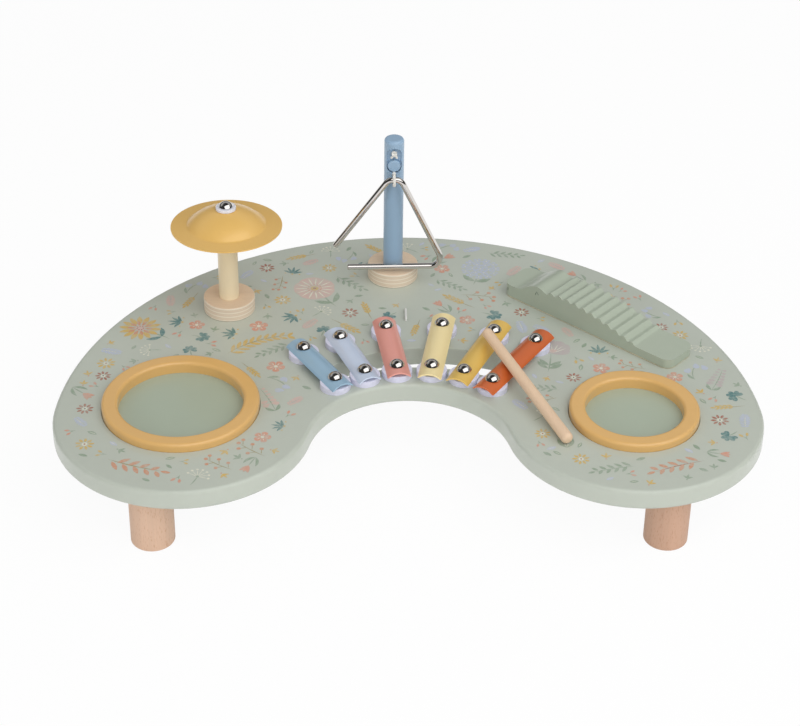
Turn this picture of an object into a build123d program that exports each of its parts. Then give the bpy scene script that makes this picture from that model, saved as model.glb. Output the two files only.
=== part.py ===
from build123d import *
from math import cos, hypot, radians, sin, sqrt, tan
import os

# A low musical activity table: a kidney-shaped board on four legs that carries two drums, a row of
# metal chime bars, a cymbal, a triangle, a ribbed scraper and a loose mallet.
# Frame, in millimetres: +X right, +Y to the back, +Z up, with the origin on the floor under the
# middle of the board.

# ---- Board ------------------------------------------------------------------
BOARD_HALF_WIDTH = 260.0
BOARD_THICKNESS = 16.0
BOARD_EDGE_ROUND = 3.0
LOBE_RADIUS = 95.0  # the round ends left and right
LOBE_RISE = 3.0  # degrees above level at which the back arc meets a lobe
ARCH_CENTRE_DROP = 39.0  # how far the front arch's centre lies in front of the lobes' centres

# ---- Legs -------------------------------------------------------------------
LEG_LENGTH = 48.0
LEG_DIAMETER = 32.0
LEG_EDGE_GAP = 10.0  # board left outside each leg
LEG_EDGE_ROUND = 1.5
FRONT_LEG_ANGLE = 17.0  # degrees outwards from straight forward, about the lobe's centre
REAR_LEG_ANGLE = 33.0  # degrees sideways from straight back, about the back arc's centre
LEG_BOLT_DIAMETER = 8.0
LEG_BOLT_IN_LEG = 34.0
LEG_BOLT_CHAMFER = 0.8
INSERT_DIAMETER = 12.0
INSERT_LENGTH = 11.5
INSERT_HOLE_SPARE = 0.5  # depth left above the insert and the bolt

# ---- Drums ------------------------------------------------------------------
DRUM_LEFT_RADIUS = 58.0
DRUM_RIGHT_RADIUS = 48.0
DRUM_LEFT_SHIFT = 2.5  # outwards from the lobe's centre
DRUM_FRONT_GAP = 46.5  # board left in front of each ring
RING_WALL = 12.0
RING_HEIGHT = 9.0
RING_PROUD = 6.3  # ring above the board
RING_ROUND = 2.5
RING_RECESS_GAP = 0.4
HEAD_THICKNESS = 0.4
DRUM_SCREW_COUNT = 4
DRUM_SCREW_DIAMETER = 3.0
DRUM_SCREW_HEAD = 6.0
DRUM_SCREW_BITE = 5.0  # thread in the ring

# ---- Chime bars -------------------------------------------------------------
BAR_NAMES = ("blue", "lavender", "coral", "cream", "mustard", "rust")
BAR_ANGLES = (-37.0, -21.6, -5.3, 11.4, 27.0, 41.7)  # of the near screws, about the arch's centre
BAR_DIRECTIONS = (-31.0, -22.1, -8.1, 9.5, 25.2, 33.7)  # degrees from straight back
BAR_EDGE_GAPS = (15.8, 13.6, 14.3, 15.9, 17.5, 19.3)  # from the arch's edge to the near screws
BAR_SCREW_SPACINGS = (47.0, 49.5, 54.4, 57.6, 59.9, 64.4)
BAR_WIDTH = 18.0
BAR_CROWN = 3.0  # height of the bar's hollow cross-section
BAR_THICKNESS = 1.2
BAR_OVERHANGS = (11.4, 11.4, 11.7, 13.6, 14.0, 14.0)  # bar beyond each screw
SPACER_DIAMETER = 23.0
SPACER_HEIGHT = 5.1
SPACER_ROUND = 0.6
BAR_SCREW_DIAMETER = 3.0
BAR_SCREW_HEAD = 11.4
BAR_SCREW_DOME = 3.9
BAR_SCREW_BITE = 11.0  # thread in the board
BAR_HOLE_GAP = 0.6

# ---- Slot under the bars ----------------------------------------------------
# Distances from the arch's edge at the slot's left end, middle and right end
SLOT_ANGLES = (-34.5, 3.0, 40.0)
SLOT_FRONT_GAPS = (22.2, 23.9, 31.8)
SLOT_BACK_GAPS = (39.7, 49.4, 61.7)
SLOT_CORNER_RADIUS = 4.0
SLOT_EDGE_ROUND = 0.8
SLOT_UNDER_ROUND = 2.2

# ---- Posts ------------------------------------------------------------------
POST_DIAMETER = 15.5
DISC_DIAMETER = 40.0
DISC_HEIGHT = 12.0
DISC_ROUND = 0.8
POST_SCREW_DIAMETER = 5.0
POST_SCREW_HEAD = 10.0
POST_SCREW_BITE = 30.0  # thread in the post

# ---- Cymbal -----------------------------------------------------------------
CYMBAL_ANGLE = -42.7  # about the back arc's centre
CYMBAL_EDGE_GAP = 56.4  # post's centre from the board's back edge
CYMBAL_POST_HEIGHT = 85.5
CYMBAL_RADIUS = 42.7
CYMBAL_DOME_RADIUS = 30.5
CYMBAL_DOME_HEIGHT = 12.6
CYMBAL_HUB_RADIUS = 7.5
CYMBAL_HOLE_RADIUS = 3.9
CYMBAL_THICKNESS = 1.0
CYMBAL_RIM_DROP = 1.2
CYMBAL_BLEND = 2.5  # rounding where the dome meets the rim
WASHER_DIAMETER = 14.0
WASHER_THICKNESS = 2.0
BUSH_DIAMETER = 15.5
BUSH_THICKNESS = 2.4
BUSH_FIT = 0.1  # radial play of the cymbal on the bush
ROCK_GAP_BELOW = 0.7  # under the washer
ROCK_GAP_ABOVE = 0.6  # under the screw's head
FACE_GAP = 0.3  # between faces that slide or turn past each other
CYMBAL_TILT = 2.6  # degrees that the loose cymbal rests with its front edge up
CYMBAL_SCREW_DIAMETER = 4.0
CYMBAL_SCREW_HEAD = 11.0
CYMBAL_SCREW_DOME = 3.4
CYMBAL_SCREW_BITE = 22.0
CYMBAL_SCREW_PLAY = 0.6  # radial, in the bush's bore

# ---- Triangle ---------------------------------------------------------------
TRIANGLE_ANGLE = -2.7  # about the back arc's centre
TRIANGLE_EDGE_GAP = 61.0
POST_ABOVE_CORD = 29.0
TRIANGLE_POST_ROUND = 2.5
ROD_DIAMETER = 4.8
ROD_BEND_RADIUS = 8.0
ROD_END_ROUND = 0.7
ROD_POST_GAP = 4.0  # between the rod and the front of the post
TRIANGLE_DISC_GAP = 2.1  # between the rod's lower end and the disc
APEX_ANGLE = 60.0
CORNER_ANGLE = 66.0
LEFT_ARM = 83.0
RIGHT_ARM = 95.0
BOTTOM_ARM = 78.0
RIGHT_ARM_LEAN = 25.0  # degrees from straight down

# ---- Cord that holds the triangle ---------------------------------------------
CORD_DIAMETER = 2.4
CORD_LOOP_GAP = 0.5  # between the rod and the loop
CORD_BORE_GAP = 0.35
CORD_BORE_DEPTH = 9.0
POCKET_WIDTH = 11.6
POCKET_HEIGHT = 22.0
POCKET_CENTRE_ABOVE_CORD = 12.6
POCKET_DEPTH = 4.4
PEG_DIAMETER = 10.0
PEG_LENGTH = 3.2
PEG_ROUND = 0.8
KNOT_DIAMETER = 4.6
KNOT_TAIL_LENGTH = 3.4
KNOT_TAIL_SPREAD = 28.0  # degrees from straight down, each way

# ---- Scraper ----------------------------------------------------------------
SCRAPER_LENGTH = 162.0
SCRAPER_WIDTH = 33.0
SCRAPER_TURN = -42.4
SCRAPER_ANGLE = 49.0  # about the back arc's centre
SCRAPER_EDGE_GAP = 63.3  # scraper's middle from the board's back edge
SCRAPER_CORNER = 8.0
SCRAPER_EDGE_ROUND = 0.8
SNOUT_HEIGHT = 11.0
SNOUT_LENGTH = 11.0
BROW_DISTANCE = 37.0
BROW_HEIGHT = 20.2
BROW_BULGE = 0.8  # of the forehead above a straight line
RIDGE_COUNT = 11
RIDGE_PITCH = 7.9
RIDGE_START = 43.5
RIDGE_DEPTH = 2.3
BACK_PEAK_HEIGHT = 21.6
BACK_PEAK_DISTANCE = 62.0
BACK_FALL = 12.6
BACK_POWER = 1.6  # how the back's line falls away from its peak
TAIL_HEIGHT = 7.9
SCRAPER_SCREW_DISTANCES = (50.0, 127.0)
SCRAPER_SCREW_DIAMETER = 4.0
SCRAPER_SCREW_HEAD = 8.0
SCRAPER_SCREW_BITE = 7.0

# ---- Loose mallet and its staple ----------------------------------------------
MALLET_BUTT_DIAMETER = 9.0
MALLET_TIP_DIAMETER = 8.0
MALLET_LENGTH = 135.0
MALLET_END_FLAT = 0.6  # radius of the flat left in the middle of each rounded end
MALLET_CROSSING_DISTANCE = 21.6  # from the last bar's near screw
MALLET_TIP_LENGTH = 37.0  # beyond that crossing
MALLET_TURN = -23.6  # degrees from straight back
REST_GAP = 0.6  # under the mallet where it lies on the bar and the board
STAPLE_FROM_ARCH = 95.2
STAPLE_WIRE = 1.8
STAPLE_SPAN = 14.0
STAPLE_RISE = 2.2  # wire's centre above the board
STAPLE_BEND = 2.0
STAPLE_LEG = 8.0  # in the board

# ---- Shared -------------------------------------------------------------------
SHANK_GAP = 0.05  # round a screw in its hole
SCREW_TIP = 2.5

# ---- Places that follow from the sizes ------------------------------------------
BARS = list(zip(BAR_NAMES, BAR_ANGLES, BAR_EDGE_GAPS, BAR_DIRECTIONS, BAR_SCREW_SPACINGS, BAR_OVERHANGS))
LOBE_X = BOARD_HALF_WIDTH - LOBE_RADIUS
OUTER_RADIUS = LOBE_RADIUS + LOBE_X / cos(radians(LOBE_RISE))
OUTER_DROP = LOBE_X * tan(radians(LOBE_RISE))
LOBE_Y = (LOBE_RADIUS + OUTER_DROP - OUTER_RADIUS) / 2
OUTER_Y = LOBE_Y - OUTER_DROP
ARCH_Y = LOBE_Y - ARCH_CENTRE_DROP
ARCH_RADIUS = hypot(LOBE_X, ARCH_CENTRE_DROP) - LOBE_RADIUS
FRONT_Y = LOBE_Y - LOBE_RADIUS
BOTTOM_Z = LEG_LENGTH
TOP_Z = LEG_LENGTH + BOARD_THICKNESS
OUTER_CENTRE = (0.0, OUTER_Y)
ARCH_CENTRE = (0.0, ARCH_Y)


def polar(centre, radius, angle):
    """A plan point at a distance and an angle, clockwise from straight back."""
    turn = radians(angle)
    return (centre[0] + radius * sin(turn), centre[1] + radius * cos(turn))


def at(point, z, shape):
    """The shape moved to a plan point and a height."""
    return Pos(point[0], point[1], z) * shape


def lathe(edges):
    """Solid turned about Z from edges in the XZ plane."""
    return revolve(make_face(edges), Axis.Z)


def lathe_points(points):
    """Solid turned about Z from (radius, height) corners."""
    return lathe(Polyline(*[(radius, 0, height) for radius, height in points], close=True))


def tube(outer_radius, inner_radius, height):
    """A ring standing on the XY plane."""
    outer = Cylinder(outer_radius, height, align=(Align.CENTER, Align.CENTER, Align.MIN))
    return outer - rod(inner_radius, height)


def rod(radius, height):
    """A round bar standing on the XY plane."""
    return Cylinder(radius, height, align=(Align.CENTER, Align.CENTER, Align.MIN))


def flat_screw(shank, head, length, gap=0.0):
    """A countersunk screw that points up from its flat head at Z = 0, or with a gap its hole."""
    shank_radius = shank / 2 + gap
    head_radius = head / 2 + gap
    head_height = (head - shank) / 2
    reach = length + gap
    return lathe_points([
        (0, 0),
        (head_radius, 0),
        (shank_radius, head_height),
        (shank_radius, reach - SCREW_TIP),
        (0, reach),
    ])


def dome_screw(shank, head, dome, length):
    """A dome-headed screw whose head sits on Z = 0 and whose shank points down."""
    top = ThreePointArc((head / 2, 0, 0), dome_middle(head / 2, dome), (0, 0, dome))
    rest = Polyline(
        (0, 0, dome),
        (0, 0, -length),
        (shank / 2, 0, SCREW_TIP - length),
        (shank / 2, 0, 0),
        (head / 2, 0, 0),
    )
    return lathe(Wire([*top.edges(), *rest.edges()]))


def dome_middle(base, height):
    """A point half-way along the profile of a spherical cap."""
    sphere = (base**2 + height**2) / (2 * height)
    radius = base / 2
    return (radius, 0, sqrt(sphere**2 - radius**2) - sphere + height)


def blind_hole(diameter, depth):
    """The hole for a shank, going down from Z = 0."""
    return Pos(0, 0, -depth) * rod(diameter / 2 + SHANK_GAP, depth)


# ---- Board ------------------------------------------------------------------


def board_outline():
    """The plan of the board: a back arc, two lobes and the arch in front."""
    rise = radians(LOBE_RISE)
    reach = LOBE_RADIUS + ARCH_RADIUS
    to_arch = (-LOBE_X / reach, -ARCH_CENTRE_DROP / reach)
    edges = []
    for side in (-1, 1):
        back_end = (side * (LOBE_X + LOBE_RADIUS * cos(rise)), LOBE_Y + LOBE_RADIUS * sin(rise))
        front_end = (side * (LOBE_X + LOBE_RADIUS * to_arch[0]), LOBE_Y + LOBE_RADIUS * to_arch[1])
        edges.append(ThreePointArc(back_end, (side * LOBE_X, FRONT_Y), front_end))
        if side < 0:
            left_back, left_front = back_end, front_end
    edges.append(ThreePointArc(left_back, (0, OUTER_Y + OUTER_RADIUS), back_end))
    edges.append(ThreePointArc(left_front, (0, ARCH_Y + ARCH_RADIUS), front_end))
    return make_face(edges)


def slot_outline():
    """The plan of the long slot that follows the arch under the bars."""
    front = [polar(ARCH_CENTRE, ARCH_RADIUS + gap, a) for gap, a in zip(SLOT_FRONT_GAPS, SLOT_ANGLES)]
    back = [polar(ARCH_CENTRE, ARCH_RADIUS + gap, a) for gap, a in zip(SLOT_BACK_GAPS, SLOT_ANGLES)]
    face = make_face([
        ThreePointArc(*front),
        Line(front[2], back[2]),
        ThreePointArc(*reversed(back)),
        Line(back[0], front[0]),
    ])
    return fillet(face.vertices(), SLOT_CORNER_RADIUS)


def make_board():
    """The board with everything that is cut or drilled in it."""
    board = extrude(board_outline(), BOARD_THICKNESS)
    rims = board.edges().group_by(Axis.Z)
    board = fillet(rims[-1] + rims[0], BOARD_EDGE_ROUND)
    board = board - extrude(slot_outline(), BOARD_THICKNESS)
    over = board.faces().sort_by(Axis.Z)[-1].inner_wires()[0].edges()
    board = fillet(over, SLOT_EDGE_ROUND)
    under = board.faces().sort_by(Axis.Z)[0].inner_wires()[0].edges()
    board = Pos(0, 0, BOTTOM_Z) * fillet(under, SLOT_UNDER_ROUND)
    for centre, radius in DRUMS.values():
        board -= drum_cut(centre, radius)
    for point in LEGS.values():
        board -= at(point, BOTTOM_Z, rod(INSERT_DIAMETER / 2, INSERT_LENGTH + INSERT_HOLE_SPARE))
    for point in bar_screw_points():
        board -= at(point, TOP_Z, blind_hole(BAR_SCREW_DIAMETER, BAR_SCREW_BITE))
    for point in (CYMBAL_POINT, TRIANGLE_POINT):
        board -= at(point, BOTTOM_Z, post_screw(SHANK_GAP))
    for point in scraper_screw_points():
        board -= at(point, BOTTOM_Z, scraper_screw(SHANK_GAP))
    for point in staple_leg_points():
        board -= at(point, TOP_Z, blind_hole(STAPLE_WIRE, STAPLE_LEG))
    return board


# ---- Legs -------------------------------------------------------------------


def leg_points():
    """Where the four legs stand."""
    front_reach = LOBE_RADIUS - LEG_EDGE_GAP - LEG_DIAMETER / 2
    rear_reach = OUTER_RADIUS - LEG_EDGE_GAP - LEG_DIAMETER / 2
    points = {}
    for name, side in (("left", -1), ("right", 1)):
        lobe = (side * LOBE_X, LOBE_Y)
        points["leg_front_" + name] = polar(lobe, front_reach, 180 - side * FRONT_LEG_ANGLE)
        points["leg_rear_" + name] = polar(OUTER_CENTRE, rear_reach, side * REAR_LEG_ANGLE)
    return points


def make_leg():
    """A round leg with a bore for its bolt."""
    leg = rod(LEG_DIAMETER / 2, LEG_LENGTH)
    leg = fillet(leg.edges().group_by(Axis.Z)[0], LEG_EDGE_ROUND)
    bore = LEG_BOLT_IN_LEG + SHANK_GAP
    return leg - Pos(0, 0, LEG_LENGTH - bore) * rod(LEG_BOLT_DIAMETER / 2 + SHANK_GAP, bore)


def make_leg_bolt():
    """The double-ended bolt between a leg and its insert."""
    length = LEG_BOLT_IN_LEG + INSERT_LENGTH
    bolt = rod(LEG_BOLT_DIAMETER / 2, length)
    bolt = chamfer(bolt.edges().filter_by(GeomType.CIRCLE), LEG_BOLT_CHAMFER)
    return Pos(0, 0, LEG_LENGTH - LEG_BOLT_IN_LEG) * bolt


def make_insert():
    """The threaded sleeve in the board."""
    sleeve = tube(INSERT_DIAMETER / 2, LEG_BOLT_DIAMETER / 2 + SHANK_GAP, INSERT_LENGTH)
    return Pos(0, 0, BOTTOM_Z) * sleeve


# ---- Drums ------------------------------------------------------------------


def drum_places():
    """Centre and outer radius of each drum's ring."""
    places = {}
    for name, side, radius, shift in (
        ("left", -1, DRUM_LEFT_RADIUS, DRUM_LEFT_SHIFT),
        ("right", 1, DRUM_RIGHT_RADIUS, 0.0),
    ):
        centre = (side * (LOBE_X + shift), FRONT_Y + DRUM_FRONT_GAP + radius)
        places[name] = (centre, radius)
    return places


def drum_screw_points(centre, radius):
    """Plan points of the screws under one drum."""
    step = 360 / DRUM_SCREW_COUNT
    return [polar(centre, radius - RING_WALL / 2, step * (i + 0.5)) for i in range(DRUM_SCREW_COUNT)]


def drum_screw(gap=0.0):
    """A screw from under the board into a drum's ring, or its hole."""
    seat = BOARD_THICKNESS - RING_HEIGHT + RING_PROUD
    return flat_screw(DRUM_SCREW_DIAMETER, DRUM_SCREW_HEAD, seat + DRUM_SCREW_BITE, gap)


def drum_cut(centre, radius):
    """What is cut from the board for one drum: a recess for the ring and a hole below its head."""
    recess = RING_HEIGHT - RING_PROUD + HEAD_THICKNESS
    cut = at(centre, TOP_Z - recess, rod(radius + RING_RECESS_GAP, recess))
    cut += at(centre, BOTTOM_Z, rod(radius - RING_WALL, BOARD_THICKNESS))
    for point in drum_screw_points(centre, radius):
        cut += at(point, BOTTOM_Z, drum_screw(SHANK_GAP))
    return cut


def make_drum_ring(centre, radius):
    """The painted ring that clamps a drum's head."""
    ring = tube(radius, radius - RING_WALL, RING_HEIGHT)
    ring = fillet(ring.edges().group_by(Axis.Z)[-1], RING_ROUND)
    ring = at(centre, TOP_Z + RING_PROUD - RING_HEIGHT, ring)
    for point in drum_screw_points(centre, radius):
        ring -= at(point, BOTTOM_Z, drum_screw(SHANK_GAP))
    return ring


def make_drum_head(centre, radius):
    """The thin membrane between the ring and the board's ledge."""
    low = TOP_Z + RING_PROUD - RING_HEIGHT - HEAD_THICKNESS
    head = at(centre, low, rod(radius, HEAD_THICKNESS))
    for point in drum_screw_points(centre, radius):
        head -= at(point, BOTTOM_Z, drum_screw(SHANK_GAP))
    return head


# ---- Chime bars -------------------------------------------------------------


def bar_place(bar):
    """Plan points of a bar's near and far screw."""
    name, angle, gap, direction, spacing, overhang = bar
    near = polar(ARCH_CENTRE, ARCH_RADIUS + gap, angle)
    return near, polar(near, spacing, direction)


def bar_screw_points():
    """Plan points of all the bars' screws."""
    return [point for bar in BARS for point in bar_place(bar)]


def bar_crest():
    """Height of the top of a bar above the board."""
    return SPACER_HEIGHT + BAR_CROWN + BAR_THICKNESS


def make_bar(bar):
    """A bar of sheet metal, hollow below across its width, with a hole at each screw."""
    near, far = bar_place(bar)
    direction, spacing, overhang = bar[3:]
    half = BAR_WIDTH / 2
    low, high = SPACER_HEIGHT, bar_crest()
    sheet = make_face([
        ThreePointArc((-half, 0, low), (0, 0, high), (half, 0, low)),
        Line((half, 0, low), (half - BAR_THICKNESS, 0, low)),
        ThreePointArc(
            (half - BAR_THICKNESS, 0, low),
            (0, 0, high - BAR_THICKNESS),
            (BAR_THICKNESS - half, 0, low),
        ),
        Line((BAR_THICKNESS - half, 0, low), (-half, 0, low)),
    ])
    length = spacing + 2 * overhang
    solid = extrude(sheet, length, dir=(0, 1, 0))
    hole = rod(BAR_SCREW_DIAMETER / 2 + BAR_HOLE_GAP, high)
    for along in (overhang, overhang + spacing):
        solid -= Pos(0, along, 0) * hole
    solid = Rot(0, 0, -direction) * Pos(0, -overhang, 0) * solid
    return at(near, TOP_Z, solid)


def make_spacer():
    """A foam disc under a bar's end."""
    disc = tube(SPACER_DIAMETER / 2, BAR_SCREW_DIAMETER / 2 + SHANK_GAP, SPACER_HEIGHT)
    outer = disc.edges().group_by(Axis.Z)[-1].sort_by(SortBy.LENGTH)[-1]
    return fillet(outer, SPACER_ROUND)


# ---- Posts ------------------------------------------------------------------


def post_screw(gap=0.0):
    """The long screw from under the board up into a post, or its hole."""
    length = BOARD_THICKNESS + POST_SCREW_BITE
    return flat_screw(POST_SCREW_DIAMETER, POST_SCREW_HEAD, length, gap)


def make_disc():
    """The plywood disc round the foot of a post."""
    disc = rod(DISC_DIAMETER / 2, DISC_HEIGHT)
    disc = fillet(disc.edges().filter_by(GeomType.CIRCLE), DISC_ROUND)
    return disc - rod(POST_DIAMETER / 2 + SHANK_GAP, DISC_HEIGHT)


# ---- Cymbal -----------------------------------------------------------------


def cymbal_levels():
    """Heights above the board of the washer, the cymbal's hub and its bush."""
    washer = CYMBAL_POST_HEIGHT + ROCK_GAP_BELOW
    hub = washer + WASHER_THICKNESS + FACE_GAP
    bush = hub + CYMBAL_THICKNESS + FACE_GAP
    return washer, hub, bush


def make_cymbal_post():
    """The cream post with the pilot holes for its two screws."""
    post = rod(POST_DIAMETER / 2, CYMBAL_POST_HEIGHT)
    post = fillet(post.edges().group_by(Axis.Z)[-1], DISC_ROUND)
    post -= Pos(0, 0, CYMBAL_POST_HEIGHT) * blind_hole(CYMBAL_SCREW_DIAMETER, CYMBAL_SCREW_BITE)
    return post - Pos(0, 0, -BOARD_THICKNESS) * post_screw(SHANK_GAP)


def cymbal_arc(sphere, centre_height, high, low):
    """An arc of the dome's profile between two heights."""
    def point(height):
        return (sqrt(sphere**2 - (height - centre_height)**2), 0, height)
    return ThreePointArc(point(high), point((high + low) / 2), point(low))


def make_cymbal():
    """The pressed metal dish, with its rim's top face at Z = 0 where it meets the dome."""
    rise, hub, dome = CYMBAL_DOME_HEIGHT, CYMBAL_HUB_RADIUS, CYMBAL_DOME_RADIUS
    centre = (rise**2 + hub**2 - dome**2) / (2 * rise)
    sphere = hypot(dome, centre)
    outer = cymbal_arc(sphere, centre, rise, 0)
    inner = cymbal_arc(sphere - CYMBAL_THICKNESS, centre, rise - CYMBAL_THICKNESS, -CYMBAL_THICKNESS)
    edge_high = (CYMBAL_RADIUS, 0, -CYMBAL_RIM_DROP)
    edge_low = (CYMBAL_RADIUS, 0, -CYMBAL_RIM_DROP - CYMBAL_THICKNESS)
    profile = [
        Line((CYMBAL_HOLE_RADIUS, 0, rise), outer @ 0),
        outer,
        Polyline(outer @ 1, edge_high, edge_low, inner @ 1),
        inner,
        Line(inner @ 0, (CYMBAL_HOLE_RADIUS, 0, rise - CYMBAL_THICKNESS)),
        Line((CYMBAL_HOLE_RADIUS, 0, rise - CYMBAL_THICKNESS), (CYMBAL_HOLE_RADIUS, 0, rise)),
    ]
    dish = lathe(Wire([edge for part in profile for edge in part.edges()]))
    rings = dish.edges().filter_by(GeomType.CIRCLE)
    corners = [ring for ring in rings if abs(ring.radius - dome) < 2 * CYMBAL_THICKNESS]
    return fillet(corners, CYMBAL_BLEND)


def make_bush():
    """The white flanged bush, with its flange's underside at Z = 0."""
    bore = CYMBAL_SCREW_DIAMETER / 2 + CYMBAL_SCREW_PLAY
    spigot = CYMBAL_THICKNESS + 2 * FACE_GAP
    flange = tube(BUSH_DIAMETER / 2, bore, BUSH_THICKNESS)
    outer = flange.edges().group_by(Axis.Z)[-1].sort_by(SortBy.LENGTH)[-1]
    flange = fillet(outer, SPACER_ROUND)
    return flange + Pos(0, 0, -spigot) * tube(CYMBAL_HOLE_RADIUS - BUSH_FIT, bore, spigot)


def make_cymbal_screw():
    """The screw that keeps the cymbal on its post, with its head's underside at Z = 0."""
    washer, hub, bush = cymbal_levels()
    length = bush + BUSH_THICKNESS + ROCK_GAP_ABOVE - CYMBAL_POST_HEIGHT + CYMBAL_SCREW_BITE
    return dome_screw(CYMBAL_SCREW_DIAMETER, CYMBAL_SCREW_HEAD, CYMBAL_SCREW_DOME, length)


def tilted(height, shape):
    """A piece at a height above the board, leaned back about the middle of the cymbal's hub."""
    washer, hub, bush = cymbal_levels()
    leaned = Pos(0, 0, hub) * Rot(-CYMBAL_TILT, 0, 0) * Pos(0, 0, height - hub) * shape
    return at(CYMBAL_POINT, TOP_Z, leaned)


def write_cymbal(parts):
    """All the pieces of the cymbal and its post."""
    washer, hub, bush = cymbal_levels()
    bore = CYMBAL_SCREW_DIAMETER / 2 + CYMBAL_SCREW_PLAY
    rim = hub + CYMBAL_THICKNESS - CYMBAL_DOME_HEIGHT
    head = bush + BUSH_THICKNESS + ROCK_GAP_ABOVE
    parts["cymbal_base"] = at(CYMBAL_POINT, TOP_Z, make_disc())
    parts["cymbal_post"] = at(CYMBAL_POINT, TOP_Z, make_cymbal_post())
    ring = tube(WASHER_DIAMETER / 2, bore, WASHER_THICKNESS)
    parts["cymbal_washer"] = tilted(washer, ring)
    parts["cymbal"] = tilted(rim, make_cymbal())
    parts["cymbal_bush"] = tilted(bush, make_bush())
    parts["cymbal_screw"] = at(CYMBAL_POINT, TOP_Z + head, make_cymbal_screw())


# ---- Triangle ---------------------------------------------------------------


def rod_y():
    """How far in front of its post's axis the triangle hangs."""
    return -(POST_DIAMETER / 2 + ROD_POST_GAP + ROD_DIAMETER / 2)


def rod_route():
    """The rod's corners, where the middle of its top bend, from which it hangs, is at the origin."""
    half = radians(APEX_ANGLE / 2)
    lean = radians(RIGHT_ARM_LEAN) - half
    reach = ROD_BEND_RADIUS / sin(half)
    left = radians(RIGHT_ARM_LEAN - APEX_ANGLE)
    right = radians(RIGHT_ARM_LEAN)
    bottom = right + radians(180 + CORNER_ANGLE)

    def step(start, angle, length):
        return (start[0] + length * sin(angle), 0.0, start[2] - length * cos(angle))

    apex = (-reach * sin(lean), 0.0, reach * cos(lean) - ROD_BEND_RADIUS)
    corner = step(apex, right, RIGHT_ARM)
    return [step(apex, left, LEFT_ARM), apex, corner, step(corner, bottom, BOTTOM_ARM)]


def make_triangle():
    """The bent rod, open at its lower left corner, hanging from its top bend."""
    path = Pos(0, rod_y(), cord_bore_z()) * FilletPolyline(*rod_route(), radius=ROD_BEND_RADIUS)
    bent = sweep(Plane(origin=path @ 0, z_dir=path % 0) * Circle(ROD_DIAMETER / 2), path=path)
    ends = bent.faces().filter_by(GeomType.PLANE).edges()
    return fillet(ends, ROD_END_ROUND)


def cord_bore_z():
    """Height above the board of the bore that the cord comes out of, and of the rod's top bend."""
    drop = -min(point[2] for point in rod_route())
    return DISC_HEIGHT + TRIANGLE_DISC_GAP + ROD_DIAMETER / 2 + drop


def make_triangle_post():
    """The blue post with its pocket, the cord's bore and its screw's pilot hole."""
    post = rod(POST_DIAMETER / 2, cord_bore_z() + POST_ABOVE_CORD)
    post = fillet(post.edges().group_by(Axis.Z)[-1], TRIANGLE_POST_ROUND)
    pocket = extrude(Plane.XZ * SlotOverall(POCKET_HEIGHT, POCKET_WIDTH, rotation=90), POCKET_DEPTH)
    post -= Pos(0, POCKET_DEPTH - POST_DIAMETER / 2, pocket_z()) * pocket
    bore = Rot(90, 0, 0) * rod(CORD_DIAMETER / 2 + CORD_BORE_GAP, POST_DIAMETER / 2)
    post -= Pos(0, CORD_BORE_DEPTH - POST_DIAMETER / 2, cord_bore_z()) * bore
    post -= Pos(0, CORD_BORE_DEPTH - POST_DIAMETER, cord_bore_z()) * bore
    return post - Pos(0, 0, -BOARD_THICKNESS) * post_screw(SHANK_GAP)


def pocket_z():
    """Height of the middle of the pocket above the board."""
    return cord_bore_z() + POCKET_CENTRE_ABOVE_CORD


def pocket_floor():
    """How far in front of the post's axis the pocket's floor lies."""
    return POCKET_DEPTH - POST_DIAMETER / 2


def make_peg():
    """The round peg that closes the lower end of the pocket."""
    peg = Rot(90, 0, 0) * rod(PEG_DIAMETER / 2, PEG_LENGTH)
    peg = fillet(peg.edges().group_by(Axis.Y)[0], PEG_ROUND)
    return Pos(0, pocket_floor(), pocket_z() - (POCKET_HEIGHT - POCKET_WIDTH) / 2) * peg


def make_knot():
    """The cord's knot with its two short tails, lying on the pocket's floor."""
    radius = KNOT_DIAMETER / 2
    knot = Sphere(radius)
    tail = rod(CORD_DIAMETER / 2, KNOT_TAIL_LENGTH)
    tail += Pos(0, 0, KNOT_TAIL_LENGTH) * Sphere(CORD_DIAMETER / 2)
    for side in (-1, 1):
        knot += Rot(0, 180 + side * KNOT_TAIL_SPREAD, 0) * tail
    height = pocket_z() + (POCKET_HEIGHT - POCKET_WIDTH) / 2
    return Pos(0, pocket_floor() - radius, height) * knot


def make_cord():
    """The loop round the rod with the straight stretch that goes back into the post."""
    ring_radius = ROD_DIAMETER / 2 + CORD_LOOP_GAP + CORD_DIAMETER / 2
    loop = Rot(0, 90, 0) * Torus(ring_radius, CORD_DIAMETER / 2)
    end = CORD_BORE_DEPTH - POST_DIAMETER / 2 - CORD_BORE_GAP
    start = rod_y() + ring_radius
    stretch = Pos(0, end - rod_y(), 0) * (Rot(90, 0, 0) * rod(CORD_DIAMETER / 2, end - start))
    return Pos(0, rod_y(), cord_bore_z()) * (loop + stretch)


def write_triangle(parts):
    """All the pieces of the triangle and its post."""
    parts["triangle_base"] = at(TRIANGLE_POINT, TOP_Z, make_disc())
    parts["triangle_post"] = at(TRIANGLE_POINT, TOP_Z, make_triangle_post())
    parts["triangle"] = at(TRIANGLE_POINT, TOP_Z, make_triangle())
    parts["triangle_cord"] = at(TRIANGLE_POINT, TOP_Z, make_cord())
    parts["cord_knot"] = at(TRIANGLE_POINT, TOP_Z, make_knot())
    parts["cord_peg"] = at(TRIANGLE_POINT, TOP_Z, make_peg())


# ---- Scraper ----------------------------------------------------------------


def back_height(along):
    """Height of the ridges' tops at a distance from the snout."""
    span = RIDGE_START + RIDGE_COUNT * RIDGE_PITCH - BACK_PEAK_DISTANCE
    return BACK_PEAK_HEIGHT - BACK_FALL * (abs(along - BACK_PEAK_DISTANCE) / span) ** BACK_POWER


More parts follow.
